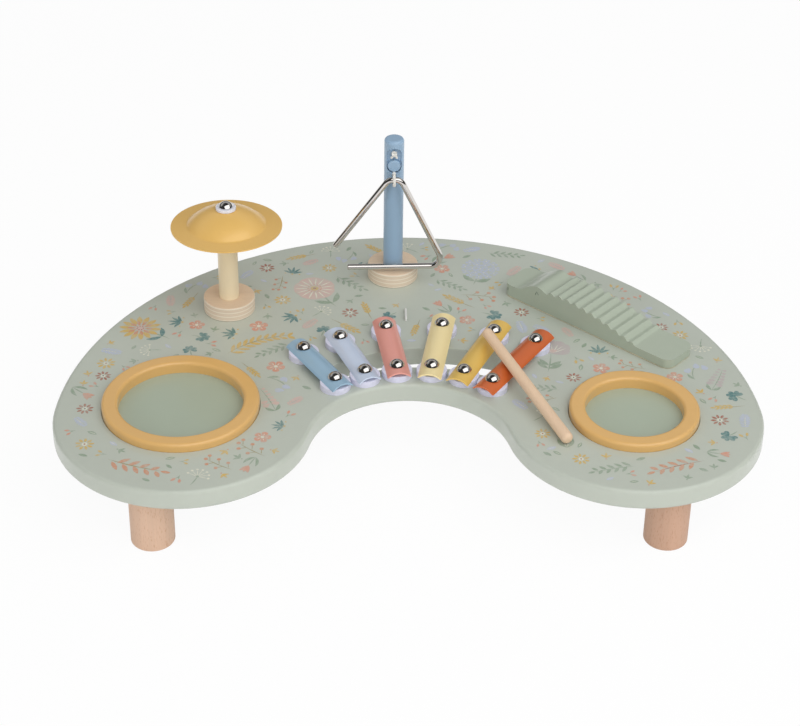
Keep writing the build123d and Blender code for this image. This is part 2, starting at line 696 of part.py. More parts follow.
def ridge_points():
    """Points on the ridged back, a wave of rounded ridges and valleys that ends on the tail."""
    points = []
    for quarter in range(4 * RIDGE_COUNT):
        along = RIDGE_START + quarter * RIDGE_PITCH / 4
        depth = RIDGE_DEPTH * (1 + cos(radians(90 * quarter))) / 2
        points.append((along, 0, back_height(along) - depth))
    return points + [(RIDGE_START + RIDGE_COUNT * RIDGE_PITCH, 0, TAIL_HEIGHT)]


def scraper_profile():
    """The side view: a low snout, a brow, a ridged back and a flat tail."""
    ridges = ridge_points()
    edges = [
        Polyline((SCRAPER_LENGTH, 0, TAIL_HEIGHT), (SCRAPER_LENGTH, 0, 0), (0, 0, 0), (0, 0, SNOUT_HEIGHT)),
        Line((0, 0, SNOUT_HEIGHT), (SNOUT_LENGTH, 0, SNOUT_HEIGHT)),
        Spline(
            (SNOUT_LENGTH, 0, SNOUT_HEIGHT),
            ((SNOUT_LENGTH + BROW_DISTANCE) / 2, 0, (SNOUT_HEIGHT + BROW_HEIGHT) / 2 + BROW_BULGE),
            (BROW_DISTANCE, 0, BROW_HEIGHT),
            ridges[0],
            tangents=[(1, 0, 0), (1, 0, 0)],
        ),
        Spline(*ridges, tangents=[(1, 0, 0), (1, 0, 0)]),
        Line(ridges[-1], (SCRAPER_LENGTH, 0, TAIL_HEIGHT)),
    ]
    return make_face(edges)


def scraper_frame():
    """From the scraper's own frame, snout at the left and its front side at Y = 0, to the board."""
    middle = polar(OUTER_CENTRE, OUTER_RADIUS - SCRAPER_EDGE_GAP, SCRAPER_ANGLE)
    turned = Pos(middle[0], middle[1], TOP_Z) * Rot(0, 0, SCRAPER_TURN)
    return turned * Pos(-SCRAPER_LENGTH / 2, -SCRAPER_WIDTH / 2, 0)


def scraper_screw(gap=0.0):
    """A screw from under the board into the scraper, or its hole."""
    length = BOARD_THICKNESS + SCRAPER_SCREW_BITE
    return flat_screw(SCRAPER_SCREW_DIAMETER, SCRAPER_SCREW_HEAD, length, gap)


def scraper_screw_points():
    """Plan points of the scraper's screws."""
    places = [scraper_frame() * Pos(along, SCRAPER_WIDTH / 2, 0) for along in SCRAPER_SCREW_DISTANCES]
    return [(place.position.X, place.position.Y) for place in places]


def make_scraper():
    """The ribbed animal-shaped block."""
    block = extrude(scraper_profile(), SCRAPER_WIDTH, dir=(0, 1, 0))
    plan = Pos(SCRAPER_LENGTH / 2, SCRAPER_WIDTH / 2) * RectangleRounded(
        SCRAPER_LENGTH, SCRAPER_WIDTH, SCRAPER_CORNER
    )
    block = block & extrude(plan, 2 * BACK_PEAK_HEIGHT)
    block = fillet(block.edges().group_by(Axis.Z)[0], SCRAPER_EDGE_ROUND)
    block = scraper_frame() * block
    for point in scraper_screw_points():
        block -= at(point, BOTTOM_Z, scraper_screw(SHANK_GAP))
    return block


# ---- Mallet and staple --------------------------------------------------------


def make_mallet():
    """The loose stick, lying across the last bar with its thick end on the board."""
    near = bar_place(BARS[-1])[0]
    crossing = polar(near, MALLET_CROSSING_DISTANCE, BARS[-1][3])
    cross_height = bar_crest() + REST_GAP + MALLET_TIP_DIAMETER / 2
    rest_height = REST_GAP + MALLET_BUTT_DIAMETER / 2
    run = MALLET_LENGTH - MALLET_TIP_LENGTH - MALLET_BUTT_DIAMETER / 2
    slope = (cross_height - rest_height) / run
    level = sqrt(1 - slope**2)
    tip = polar(crossing, MALLET_TIP_LENGTH * level, MALLET_TURN)
    butt = polar(crossing, -(MALLET_LENGTH - MALLET_TIP_LENGTH) * level, MALLET_TURN)
    low = cross_height - slope * (MALLET_LENGTH - MALLET_TIP_LENGTH)
    direction = (tip[0] - butt[0], tip[1] - butt[1], slope * MALLET_LENGTH)
    stick = Cone(
        MALLET_BUTT_DIAMETER / 2,
        MALLET_TIP_DIAMETER / 2,
        MALLET_LENGTH,
        align=(Align.CENTER, Align.CENTER, Align.MIN),
    )
    rims = stick.edges().filter_by(GeomType.CIRCLE).sort_by(Axis.Z)
    stick = fillet(rims, MALLET_TIP_DIAMETER / 2 - MALLET_END_FLAT)
    return Plane(origin=(butt[0], butt[1], TOP_Z + low), z_dir=direction) * stick


def staple_leg_points():
    """Plan points of the staple's two legs."""
    middle = ARCH_RADIUS + STAPLE_FROM_ARCH
    return [(0.0, ARCH_Y + middle + side * STAPLE_SPAN / 2) for side in (-1, 1)]


def make_staple():
    """The small wire staple behind the bars."""
    near, far = staple_leg_points()
    low, high = TOP_Z - STAPLE_LEG, TOP_Z + STAPLE_RISE
    path = FilletPolyline(
        (near[0], near[1], low),
        (near[0], near[1], high),
        (far[0], far[1], high),
        (far[0], far[1], low),
        radius=STAPLE_BEND,
    )
    return sweep(Plane(origin=path @ 0, z_dir=path % 0) * Circle(STAPLE_WIRE / 2), path=path)


# ---- The whole table ------------------------------------------------------------

LEGS = leg_points()
DRUMS = drum_places()
CYMBAL_POINT = polar(OUTER_CENTRE, OUTER_RADIUS - CYMBAL_EDGE_GAP, CYMBAL_ANGLE)
TRIANGLE_POINT = polar(OUTER_CENTRE, OUTER_RADIUS - TRIANGLE_EDGE_GAP, TRIANGLE_ANGLE)


def group(shapes):
    """Identical pieces kept together as separate solids."""
    return Compound(children=[solid for shape in shapes for solid in shape.solids()])


def write_bars(parts):
    """The bars with their foam discs and screws."""
    points = bar_screw_points()
    screw = dome_screw(
        BAR_SCREW_DIAMETER, BAR_SCREW_HEAD, BAR_SCREW_DOME, bar_crest() + BAR_SCREW_BITE - SHANK_GAP
    )
    for bar in BARS:
        parts["bar_" + bar[0]] = make_bar(bar)
    parts["bar_spacers"] = group(at(point, TOP_Z, make_spacer()) for point in points)
    parts["bar_screws"] = group(at(point, TOP_Z + bar_crest(), screw) for point in points)


def write_drums(parts):
    """The rings, heads and screws of both drums."""
    screws = []
    for name, (centre, radius) in DRUMS.items():
        parts["drum_ring_" + name] = make_drum_ring(centre, radius)
        parts["drum_head_" + name] = make_drum_head(centre, radius)
        screws += [at(point, BOTTOM_Z, drum_screw()) for point in drum_screw_points(centre, radius)]
    parts["drum_screws"] = group(screws)


def make_parts():
    """Every node of the table by name."""
    parts = {"table_top": make_board()}
    for name, point in LEGS.items():
        parts[name] = at(point, 0, make_leg())
    parts["leg_bolts"] = group(at(point, 0, make_leg_bolt()) for point in LEGS.values())
    parts["leg_inserts"] = group(at(point, 0, make_insert()) for point in LEGS.values())
    write_drums(parts)
    write_bars(parts)
    write_cymbal(parts)
    write_triangle(parts)
    posts = (CYMBAL_POINT, TRIANGLE_POINT)
    parts["post_screws"] = group(at(point, BOTTOM_Z, post_screw()) for point in posts)
    parts["scraper"] = make_scraper()
    under = scraper_screw_points()
    parts["scraper_screws"] = group(at(point, BOTTOM_Z, scraper_screw()) for point in under)
    parts["mallet"] = make_mallet()
    parts["mallet_staple"] = make_staple()
    return parts


os.makedirs("parts", exist_ok=True)
for node, shape in make_parts().items():
    export_step(shape, "parts/" + node + ".step")
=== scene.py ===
import math
import random
from collections import namedtuple

import bmesh
import bpy
from mathutils import Matrix, Vector
from mathutils.bvhtree import BVHTree


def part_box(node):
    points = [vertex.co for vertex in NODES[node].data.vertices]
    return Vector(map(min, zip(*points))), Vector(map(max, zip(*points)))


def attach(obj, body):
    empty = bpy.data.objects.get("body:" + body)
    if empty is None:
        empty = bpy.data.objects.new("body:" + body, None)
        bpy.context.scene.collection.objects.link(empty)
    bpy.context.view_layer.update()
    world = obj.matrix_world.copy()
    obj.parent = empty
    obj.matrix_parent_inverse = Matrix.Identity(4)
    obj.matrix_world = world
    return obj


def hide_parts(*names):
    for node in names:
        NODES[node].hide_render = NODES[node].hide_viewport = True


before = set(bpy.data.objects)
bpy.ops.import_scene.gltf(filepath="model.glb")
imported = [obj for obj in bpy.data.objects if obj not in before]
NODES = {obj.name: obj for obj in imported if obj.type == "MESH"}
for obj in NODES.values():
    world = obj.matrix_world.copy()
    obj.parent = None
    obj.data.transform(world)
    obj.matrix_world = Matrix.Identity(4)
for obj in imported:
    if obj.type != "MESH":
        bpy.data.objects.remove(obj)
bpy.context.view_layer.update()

# Finishes, print, edge strips, cord and studio of a low musical activity table.
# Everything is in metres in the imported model's frame: +X right, +Y to the back, +Z up,
# with the origin on the floor under the middle of the board.

bl_info = {
    "name": "Musical Activity Table",
    "version": (1, 0, 0),
    "blender": (4, 5, 0),
    "location": "3D View > Sidebar > Music Table",
    "description": "Dresses the packed model of a low musical activity table and sets up its studio",
    "category": "Object",
}

MM = 0.001
TOP_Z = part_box("table_top")[1].z

BARS = ("blue", "lavender", "coral", "cream", "mustard", "rust")
LEGS = ("leg_front_left", "leg_front_right", "leg_rear_left", "leg_rear_right")
FIXINGS = ("leg_bolts", "leg_inserts", "post_screws", "drum_screws", "scraper_screws")


# ---- Sizes and colours that a user would change ---------------------------------


def linear(red, green, blue):
    """A linear colour from one written in steps of 0 to 255."""
    shares = [value / 255 for value in (red, green, blue)]
    return tuple(s / 12.92 if s <= 0.04045 else ((s + 0.055) / 1.055) ** 2.4 for s in shares)


def colour(name, description, rgb):
    """A colour property."""
    return bpy.props.FloatVectorProperty(
        name=name,
        description=description,
        subtype="COLOR",
        size=3,
        min=0.0,
        max=1.0,
        default=linear(*rgb),
    )


def length(name, description, millimetres):
    """A length property, shown in the scene's unit."""
    return bpy.props.FloatProperty(
        name=name,
        description=description,
        subtype="DISTANCE",
        unit="LENGTH",
        precision=5,
        default=millimetres * MM,
    )


class TableColours(bpy.types.PropertyGroup):
    """Paints, lacquers and bare materials."""

    board: colour("Board", "Satin paint of the board", (190, 196, 184))
    scraper: colour("Scraper", "Satin paint of the ribbed scraper", (176, 186, 168))
    rings: colour("Rings", "Satin paint of the drum rings", (226, 180, 110))
    heads: colour("Drum heads", "Smooth film of the drum heads", (172, 184, 165))
    cymbal: colour("Cymbal", "Lacquer of the cymbal", (236, 191, 108))
    cymbal_post: colour("Cymbal post", "Paint of the cymbal's post", (242, 225, 190))
    triangle_post: colour("Triangle post", "Paint of the triangle's post", (150, 179, 205))
    blue: colour("Blue bar", "Lacquer of the first bar", (157, 190, 213))
    lavender: colour("Lavender bar", "Lacquer of the second bar", (206, 218, 238))
    coral: colour("Coral bar", "Lacquer of the third bar", (237, 163, 149))
    cream: colour("Cream bar", "Lacquer of the fourth bar", (252, 232, 174))
    mustard: colour("Mustard bar", "Lacquer of the fifth bar", (233, 193, 96))
    rust: colour("Rust bar", "Lacquer of the sixth bar", (212, 104, 46))
    foam: colour("Foam", "Closed-cell foam of the discs under the bars", (222, 222, 240))
    bush: colour("Bush", "Moulded bush on top of the cymbal", (232, 232, 240))
    cord: colour("Cord", "Cotton cord of the triangle", (238, 236, 230))
    beech: colour("Beech", "Bare beech of the legs", (221, 186, 160))
    beech_deep: colour("Deep beech", "Darker beech of the right front leg", (203, 164, 139))
    mallet: colour("Mallet", "Oiled beech of the mallet", (231, 201, 170))
    birch: colour("Birch", "Face veneer of the plywood discs", (230, 206, 178))


class PrintInks(bpy.types.PropertyGroup):
    """Inks of the botanical print on the board."""

    teal: colour("Teal", "Clover and grass", (82, 128, 128))
    ochre: colour("Ochre", "Wheat, willow and dahlia", (212, 178, 96))
    terracotta: colour("Terracotta", "Olive branches and berries", (208, 148, 116))
    coral_ink: colour("Coral", "Tulips and blossoms", (216, 152, 128))
    rose: colour("Rose", "Foxglove and poppy", (212, 184, 174))
    lavender_ink: colour("Lavender", "Hydrangea and buds", (188, 196, 214))
    moss: colour("Moss", "Stems and leaflets", (146, 164, 142))
    mauve: colour("Mauve", "Large petals", (190, 178, 176))
    olive: colour("Olive", "Branches", (160, 148, 104))
    rust_ink: colour("Rust", "Hearts and dots", (168, 104, 84))
    ivory: colour("Ivory", "Light hearts and veins", (226, 224, 206))
    navy: colour("Navy", "Small dots", (88, 104, 120))
    pine: colour("Pine", "Eye and nostrils of the scraper", (74, 92, 78))


class TableSizes(bpy.types.PropertyGroup):
    """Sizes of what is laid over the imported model."""

    print_lift: length("Print lift", "Height of the lowest ink above the paint", 0.03)
    print_margin: length("Print margin", "Bare paint between a motif and an edge", 5.0)
    soft_edge: length("Soft edge", "Rounding of the painted edges of scraper and bars", 0.35)
    cord_width: length("Cord", "Diameter of the cord of the triangle", 2.6)
    mark_width: length("Marks", "Width of the brush marks on the scraper", 0.8)
    floor_radius: length("Floor", "Radius of the studio's floor", 4000.0)


# ---- Node helpers -------------------------------------------------------------


def fill(tree, node, inputs):
    """Gives each of these inputs of a node its value, or a link from another node's output."""
    for name, value in inputs.items():
        if isinstance(value, bpy.types.NodeSocket):
            tree.links.new(value, node.inputs[name])
        else:
            node.inputs[name].default_value = value
    return node


def add_node(tree, kind, inputs=None, **settings):
    """A new node with its settings and its inputs."""
    node = tree.nodes.new(kind)
    for name, value in settings.items():
        setattr(node, name, value)
    return fill(tree, node, inputs or {})


def result_of(tree, kind, inputs=None, **settings):
    """The first output of a new node."""
    return add_node(tree, kind, inputs, **settings).outputs[0]


def calculate(tree, operation, *values):
    """The output of a Math node."""
    return result_of(tree, "ShaderNodeMath", dict(enumerate(values)), operation=operation)


def product(tree, value, *factors):
    """A value times one or more factors."""
    for factor in factors:
        value = calculate(tree, "MULTIPLY", value, factor)
    return value


def scaled(tree, vector, share):
    """A vector or colour times a share."""
    return result_of(tree, "ShaderNodeVectorMath", {0: vector, "Scale": share}, operation="SCALE")


def xyz(tree, vector):
    """The three numbers of a vector."""
    return add_node(tree, "ShaderNodeSeparateXYZ", {0: vector}).outputs


def remap(tree, value, low, high, to_low=0.0, to_high=1.0):
    """A value moved from one range to another, and kept inside it."""
    inputs = {"Value": value, "From Min": low, "From Max": high, "To Min": to_low, "To Max": to_high}
    return result_of(tree, "ShaderNodeMapRange", inputs)


def blend_colours(tree, share, first, second, blend_type="MIX"):
    """Two colours mixed by a share from 0 to 1."""
    inputs = {"Factor": share, 6: first, 7: second}
    return add_node(tree, "ShaderNodeMix", inputs, data_type="RGBA", blend_type=blend_type).outputs[2]


def noise(tree, vector, scale, detail=2.0, roughness=0.5, distortion=0.0):
    """The value of a noise texture."""
    inputs = {
        "Vector": vector,
        "Scale": scale,
        "Detail": detail,
        "Roughness": roughness,
        "Distortion": distortion,
    }
    return add_node(tree, "ShaderNodeTexNoise", inputs).outputs["Fac"]


def stretched(tree, vector, scale):
    """Coordinates scaled by a different amount along each axis."""
    return result_of(tree, "ShaderNodeMapping", {"Vector": vector, "Scale": scale})


def swung(tree, vector, rotation):
    """Coordinates turned about the axes."""
    return result_of(tree, "ShaderNodeMapping", {"Vector": vector, "Rotation": rotation})


def object_place(tree):
    """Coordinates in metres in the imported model's frame."""
    return add_node(tree, "ShaderNodeTexCoord").outputs["Object"]


def opaque(rgb):
    """A colour with full alpha."""
    return (*rgb, 1.0)


def new_tree(name, kind, inputs, outputs):
    """An empty node group, with what it is given and the node that takes what it puts out."""
    tree = bpy.data.node_groups.new(name, kind)
    for label, type_name, *default in inputs:
        socket = tree.interface.new_socket(label, in_out="INPUT", socket_type="NodeSocket" + type_name)
        if default:
            socket.default_value = default[0]
    for label, type_name in outputs:
        tree.interface.new_socket(label, in_out="OUTPUT", socket_type="NodeSocket" + type_name)
    return tree, add_node(tree, "NodeGroupInput").outputs, add_node(tree, "NodeGroupOutput")


def shared(build):
    """The node group that a function builds, made when it is first asked for."""
    return bpy.data.node_groups.get(build.__name__) or build(build.__name__)


# ---- Effects that several finishes share --------------------------------------

SURFACE = (("Color", "Color"), ("Roughness", "Float"), ("Height", "Float"))


def use_effect(tree, build, inputs):
    """The outputs of a shared effect placed in a material."""
    return add_node(tree, "ShaderNodeGroup", inputs, node_tree=shared(build)).outputs


def paint_film(name):
    """Sprayed paint: faint clouding of its colour, uneven gloss and the fine dimples of its skin."""
    inputs = (("Vector", "Vector"), ("Paint", "Color"), ("Clouding", "Float", 0.03), ("Gloss", "Float", 0.4))
    tree, given, result = new_tree(name, "ShaderNodeTree", inputs, SURFACE)
    vector = given["Vector"]
    clouds = noise(tree, vector, 11.0, detail=3.0)
    streaks = noise(tree, vector, 140.0)
    uneven = calculate(tree, "MULTIPLY_ADD", streaks, 0.35, clouds)
    swing = remap(tree, uneven, 0.45, 0.9, -1.0, 1.0)
    shade = calculate(tree, "MULTIPLY_ADD", swing, given["Clouding"], 1.0)
    rubbed = remap(tree, noise(tree, vector, 38.0, detail=4.0), 0.3, 0.7, -0.05, 0.05)
    fill(tree, result, {
        "Color": scaled(tree, given["Paint"], shade),
        "Roughness": calculate(tree, "ADD", given["Gloss"], rubbed),
        "Height": noise(tree, vector, 260.0, detail=1.0),
    })
    return tree


def wood_grain(name):
    """Straight-grained wood whose fibres run along Z: bands, fine streaks and short dark flecks."""
    inputs = (("Vector", "Vector"), ("Wood", "Color"), ("Contrast", "Float", 1.0), ("Flecks", "Float", 0.5))
    tree, given, result = new_tree(name, "ShaderNodeTree", inputs, SURFACE)
    vector = given["Vector"]
    bands = noise(tree, stretched(tree, vector, (70.0, 70.0, 3.0)), 1.0, detail=3.0, distortion=0.6)
    fibres = noise(tree, stretched(tree, vector, (620.0, 620.0, 16.0)), 1.0, detail=3.0)
    pith = noise(tree, stretched(tree, vector, (1500.0, 1500.0, 260.0)), 1.0, detail=1.0)
    mixed = calculate(tree, "MULTIPLY_ADD", fibres, 0.5, bands)
    swing = remap(tree, mixed, 0.5, 1.0, -0.075, 0.075)
    toned = scaled(tree, given["Wood"], calculate(tree, "MULTIPLY_ADD", swing, given["Contrast"], 1.0))
    warm = blend_colours(tree, 1.0, toned, (0.80, 0.66, 0.55, 1.0), "MULTIPLY")
    spots = product(tree, remap(tree, pith, 0.60, 0.68), given["Flecks"])
    fill(tree, result, {
        "Color": blend_colours(tree, spots, toned, warm),
        "Roughness": remap(tree, fibres, 0.3, 0.7, 0.50, 0.64),
        "Height": calculate(tree, "SUBTRACT", fibres, spots),
    })
    return tree


def plywood_layers(name):
    """Plies stacked along Z from a base height, seen on a cut edge: every second one is darker
    end grain, and a thin glue line lies between them."""
    inputs = (("Vector", "Vector"), ("Base", "Float", 0.0), ("Ply", "Float", 0.002))
    tree, given, result = new_tree(name, "ShaderNodeTree", inputs, (("Across", "Float"), ("Glue", "Float")))
    ripple = calculate(tree, "SUBTRACT", noise(tree, given["Vector"], 60.0), 0.5)
    above = calculate(tree, "SUBTRACT", xyz(tree, given["Vector"])["Z"], given["Base"])
    count = calculate(tree, "DIVIDE", above, given["Ply"])
    wavy = calculate(tree, "MULTIPLY_ADD", ripple, 0.22, count)
    turn = calculate(tree, "FRACT", product(tree, wavy, 0.5))
    within = calculate(tree, "SUBTRACT", calculate(tree, "FRACT", wavy), 0.5)
    fill(tree, result, {
        "Across": calculate(tree, "GREATER_THAN", turn, 0.5),
        "Glue": remap(tree, calculate(tree, "ABSOLUTE", within), 0.36, 0.49),
    })
    return tree


def handling_marks(name):
    """Faint wiped areas on polished or moulded pieces, as a change of roughness."""
    inputs = (("Vector", "Vector"), ("Polish", "Float", 0.08), ("Wear", "Float", 0.06))
    tree, given, result = new_tree(name, "ShaderNodeTree", inputs, SURFACE[1:])
    wipes = noise(tree, stretched(tree, given["Vector"], (90.0, 210.0, 130.0)), 1.0, detail=4.0)
    share = remap(tree, wipes, 0.45, 0.75)
    fill(tree, result, {
        "Roughness": calculate(tree, "MULTIPLY_ADD", share, given["Wear"], given["Polish"]),
        "Height": noise(tree, given["Vector"], 900.0),
    })
    return tree


# ---- Finishes -------------------------------------------------------------------

# The scraper's bare line: its height above the board, how far it wanders, and its colour
BARE_FOOT = 0.75 * MM
BARE_RAGGED = (-0.35 * MM, 0.25 * MM)
BARE_LINE = linear(226, 210, 172)
# The plywood discs: their thickness, their plies and the colours of a cut edge
DISC_THICK, DISC_PLIES = 12.0 * MM, 7
LIGHT_PLY, DARK_PLY, GLUE_LINE = linear(240, 226, 206), linear(231, 212, 188), linear(196, 170, 142)


def new_finish(name):
    """An empty material with its tree and its shader."""
    material = bpy.data.materials.new(name)
    material.use_nodes = True
    tree = material.node_tree
    tree.nodes.clear()
    shader = add_node(tree, "ShaderNodeBsdfPrincipled")
    add_node(tree, "ShaderNodeOutputMaterial", {"Surface": shader.outputs[0]})
    return material, tree, shader


def shaded(rgb, share):
    """An opaque colour, darkened by a share."""
    return opaque([value * share for value in rgb])


def bumps(tree, height, depth, strength):
    """A normal from a height of 0 to 1 that is so many metres deep."""
    return result_of(tree, "ShaderNodeBump", {"Height": height, "Distance": depth, "Strength": strength})


def film_on(tree, vector, rgb, clouding, gloss=0.4, depth=0.02 * MM, strength=0.6):
    """What a paint film gives a shader: its colour, its gloss and the dimples of its skin."""
    inputs = {"Vector": vector, "Paint": opaque(rgb), "Clouding": clouding, "Gloss": gloss}
    film = use_effect(tree, paint_film, inputs)
    return {
        "Base Color": film["Color"],
        "Roughness": film["Roughness"],
        "Normal": bumps(tree, film["Height"], depth, strength),
    }


def wiped(tree, polish, wear, depth, strength):
    """What handling gives a shader: its uneven polish and the finest bumps."""
    inputs = {"Vector": object_place(tree), "Polish": polish, "Wear": wear}
    marks = use_effect(tree, handling_marks, inputs)
    return {"Roughness": marks["Roughness"], "Normal": bumps(tree, marks["Height"], depth, strength)}


def satin_paint(name, rgb, gloss=0.42, coat=0.4):
    """Sprayed satin paint on wood."""
    material, tree, shader = new_finish(name)
    fill(tree, shader, {
        **film_on(tree, object_place(tree), rgb, 0.025, gloss),
        "Coat Weight": coat,
        "Coat Roughness": 0.16,
    })
    return material


def scraper_paint(rgb):
    """The scraper's paint, with the bare line that is left along its foot."""
    material, tree, shader = new_finish("moss_paint")
    vector = object_place(tree)
    film = film_on(tree, vector, rgb, 0.03)
    ragged = remap(tree, noise(tree, vector, 60.0), 0.3, 0.7, *BARE_RAGGED)
    height = calculate(tree, "ADD", xyz(tree, vector)["Z"], ragged)
    bare = calculate(tree, "LESS_THAN", height, TOP_Z + BARE_FOOT)
    fill(tree, shader, {
        **film,
        "Base Color": blend_colours(tree, bare, film["Base Color"], opaque(BARE_LINE)),
        "Coat Weight": 0.35,
        "Coat Roughness": 0.18,
    })
    return material


def lacquered_metal(name, rgb, gloss=0.33, metallic=0.12, coat=0.5):
    """Lacquer on sheet metal."""
    material, tree, shader = new_finish(name)
    fill(tree, shader, {
        **film_on(tree, object_place(tree), rgb, 0.02, gloss, 0.012 * MM, 0.5),
        "Metallic": metallic,
        "Coat Weight": coat,
        "Coat Roughness": 0.18,
    })
    return material


def drum_film(rgb):
    """The drum heads' film: smooth, with a fine grain and a faint milky unevenness."""
    material, tree, shader = new_finish("membrane")
    fill(tree, shader, {
        **film_on(tree, object_place(tree), rgb, 0.015, 0.34, 0.006 * MM, 0.5),
        "Coat Weight": 0.3,
        "Coat Roughness": 0.12,
        "Subsurface Weight": 0.05,
        "Subsurface Radius": (0.001, 0.001, 0.001),
    })
    return material


def bare_wood(name, rgb, grain_turn=(0.0, 0.0, 0.0), contrast=1.0, flecks=0.6, centre=(0.0, 0.0, 0.0)):
    """Sanded wood, with its grain turned from Z to where the fibres run."""
    material, tree, shader = new_finish(name)
    moved = result_of(tree, "ShaderNodeVectorMath", {0: object_place(tree), 1: centre}, operation="SUBTRACT")
    grain = use_effect(tree, wood_grain, {
        "Vector": swung(tree, moved, grain_turn),
        "Wood": opaque(rgb),
        "Contrast": contrast,
        "Flecks": flecks,
    })
    fill(tree, shader, {
        "Base Color": grain["Color"],
        "Roughness": grain["Roughness"],
        "Normal": bumps(tree, grain["Height"], 0.05 * MM, 0.6),
    })
    return material


def birch_plywood(rgb):
    """Plywood discs: veneer with its grain along X on the flat faces, plies on the cut edge."""
    material, tree, shader = new_finish("birch_ply")
    vector = object_place(tree)
    along_x = swung(tree, vector, (0.0, math.pi / 2, 0.0))
    face = use_effect(tree, wood_grain, {"Vector": along_x, "Wood": opaque(rgb), "Flecks": 0.3})
    stack = {"Vector": vector, "Base": TOP_Z, "Ply": DISC_THICK / DISC_PLIES}
    layers = use_effect(tree, plywood_layers, stack)
    edge = blend_colours(tree, layers["Across"], opaque(LIGHT_PLY), opaque(DARK_PLY))
    edge = blend_colours(tree, product(tree, layers["Glue"], 0.6), edge, opaque(GLUE_LINE))
    normal = add_node(tree, "ShaderNodeNewGeometry").outputs["True Normal"]
    flat = remap(tree, calculate(tree, "ABSOLUTE", xyz(tree, normal)["Z"]), 0.5, 0.85)
    height = calculate(tree, "MULTIPLY_ADD", layers["Glue"], -1.2, face["Height"])
    fill(tree, shader, {
        "Base Color": blend_colours(tree, flat, edge, face["Color"]),
        "Roughness": face["Roughness"],
        "Normal": bumps(tree, height, 0.06 * MM, 0.7),
    })
    return material


def polished_chrome(name):
    """Chrome plate with faint wiped areas."""
    material, tree, shader = new_finish(name)
    fill(tree, shader, {
        **wiped(tree, 0.03, 0.04, 0.002 * MM, 0.3),
        "Base Color": opaque((0.72, 0.69, 0.66)),
        "Metallic": 1.0,
    })
    return material


def zinc_steel():
    """Zinc-plated steel, duller and slightly uneven."""
    material, tree, shader = new_finish("zinc_steel")
    fill(tree, shader, {
        **wiped(tree, 0.28, 0.15, 0.01 * MM, 0.5),
        "Base Color": opaque((0.45, 0.46, 0.47)),
        "Metallic": 1.0,
    })
    return material


def cell_foam(rgb):
    """Closed-cell foam with fine pores."""
    material, tree, shader = new_finish("foam")
    vector = object_place(tree)
    cells = add_node(tree, "ShaderNodeTexVoronoi", {"Vector": vector, "Scale": 1500.0}).outputs["Distance"]
    tone = remap(tree, noise(tree, vector, 400.0, detail=3.0), 0.3, 0.7)
    fill(tree, shader, {
        "Base Color": blend_colours(tree, tone, opaque(rgb), shaded(rgb, 0.93)),
        "Roughness": remap(tree, tone, 0.0, 1.0, 0.6, 0.75),
        "Normal": bumps(tree, cells, 0.1 * MM, 0.5),
        "Subsurface Weight": 0.1,
        "Subsurface Radius": (0.002, 0.002, 0.002),
    })
    return material


def moulded_plastic(rgb):
    """White moulded plastic."""
    material, tree, shader = new_finish("white_plastic")
    tone = remap(tree, noise(tree, object_place(tree), 120.0), 0.3, 0.7)
    fill(tree, shader, {
        **wiped(tree, 0.3, 0.1, 0.01 * MM, 0.4),
        "Base Color": blend_colours(tree, tone, opaque(rgb), shaded(rgb, 0.97)),
        "Subsurface Weight": 0.08,
        "Subsurface Radius": (0.001, 0.001, 0.001),
    })
    return material


def cotton(rgb):
    """Cotton yarn: fine fibres that run along each strand."""
    material, tree, shader = new_finish("cord")
    fibres = noise(tree, object_place(tree), 4200.0, detail=3.0)
    tone = remap(tree, fibres, 0.3, 0.7)
    fill(tree, shader, {
        "Base Color": blend_colours(tree, tone, shaded(rgb, 0.86), opaque(rgb)),
        "Roughness": remap(tree, fibres, 0.3, 0.7, 0.8, 0.95),
        "Normal": bumps(tree, fibres, 0.06 * MM, 0.6),
        "Sheen Weight": 0.2,
    })
    return material


def printed_ink(name, paint):
    """Ink over paint: each stroke has its own colour, thinner where the brush ran dry."""
    material, tree, shader = new_finish(name)
    vector = object_place(tree)
    ink = add_node(tree, "ShaderNodeAttribute", attribute_name="ink").outputs["Color"]
    dabs = noise(tree, vector, 520.0, detail=3.0, roughness=0.65)
    wash = noise(tree, vector, 90.0)
    dry = remap(tree, calculate(tree, "MULTIPLY_ADD", wash, 0.7, dabs), 0.72, 1.12, 0.04, 0.6)
    film = film_on(tree, vector, paint, 0.025)
    fill(tree, shader, {
        **film,
        "Base Color": blend_colours(tree, dry, ink, film["Base Color"]),
        "Coat Weight": 0.4,
        "Coat Roughness": 0.16,
    })
    return material


def dress(names, material):
    """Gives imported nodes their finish."""
    for name in names:
        NODES[name].material_slots[0].material = material


# ---- Mesh helpers ---------------------------------------------------------------

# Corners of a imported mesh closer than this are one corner
MERGE = 0.002 * MM
# Faces that turn less than the first angle are one face, and edges sharper than the second are rounded
FLAT, SHARP = math.radians(0.4), math.radians(28)


def add_piece(name, mesh, body, replaced=()):
    """An object at the origin that rides on a body."""
    piece = bpy.data.objects.new(name, mesh)
    bpy.context.scene.collection.objects.link(piece)
    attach(piece, body)
    if replaced:
        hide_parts(*replaced)
    return piece


def made_by_nodes(source, tree, inputs):
    """The mesh that a Geometry Nodes tree makes from a mesh or curve with these named inputs."""
    holder = bpy.data.objects.new("holder", source)
    bpy.context.scene.collection.objects.link(holder)
    modifier = holder.modifiers.new("make", "NODES")
    modifier.node_group = tree
    sockets = {s.name: s.identifier for s in tree.interface.items_tree if s.in_out == "INPUT"}
    for name, value in inputs.items():
        modifier[sockets[name]] = value
    graph = bpy.context.evaluated_depsgraph_get()
    mesh = bpy.data.meshes.new_from_object(holder.evaluated_get(graph))
    holder.modifiers.clear()
    bpy.data.objects.remove(holder)
    return mesh


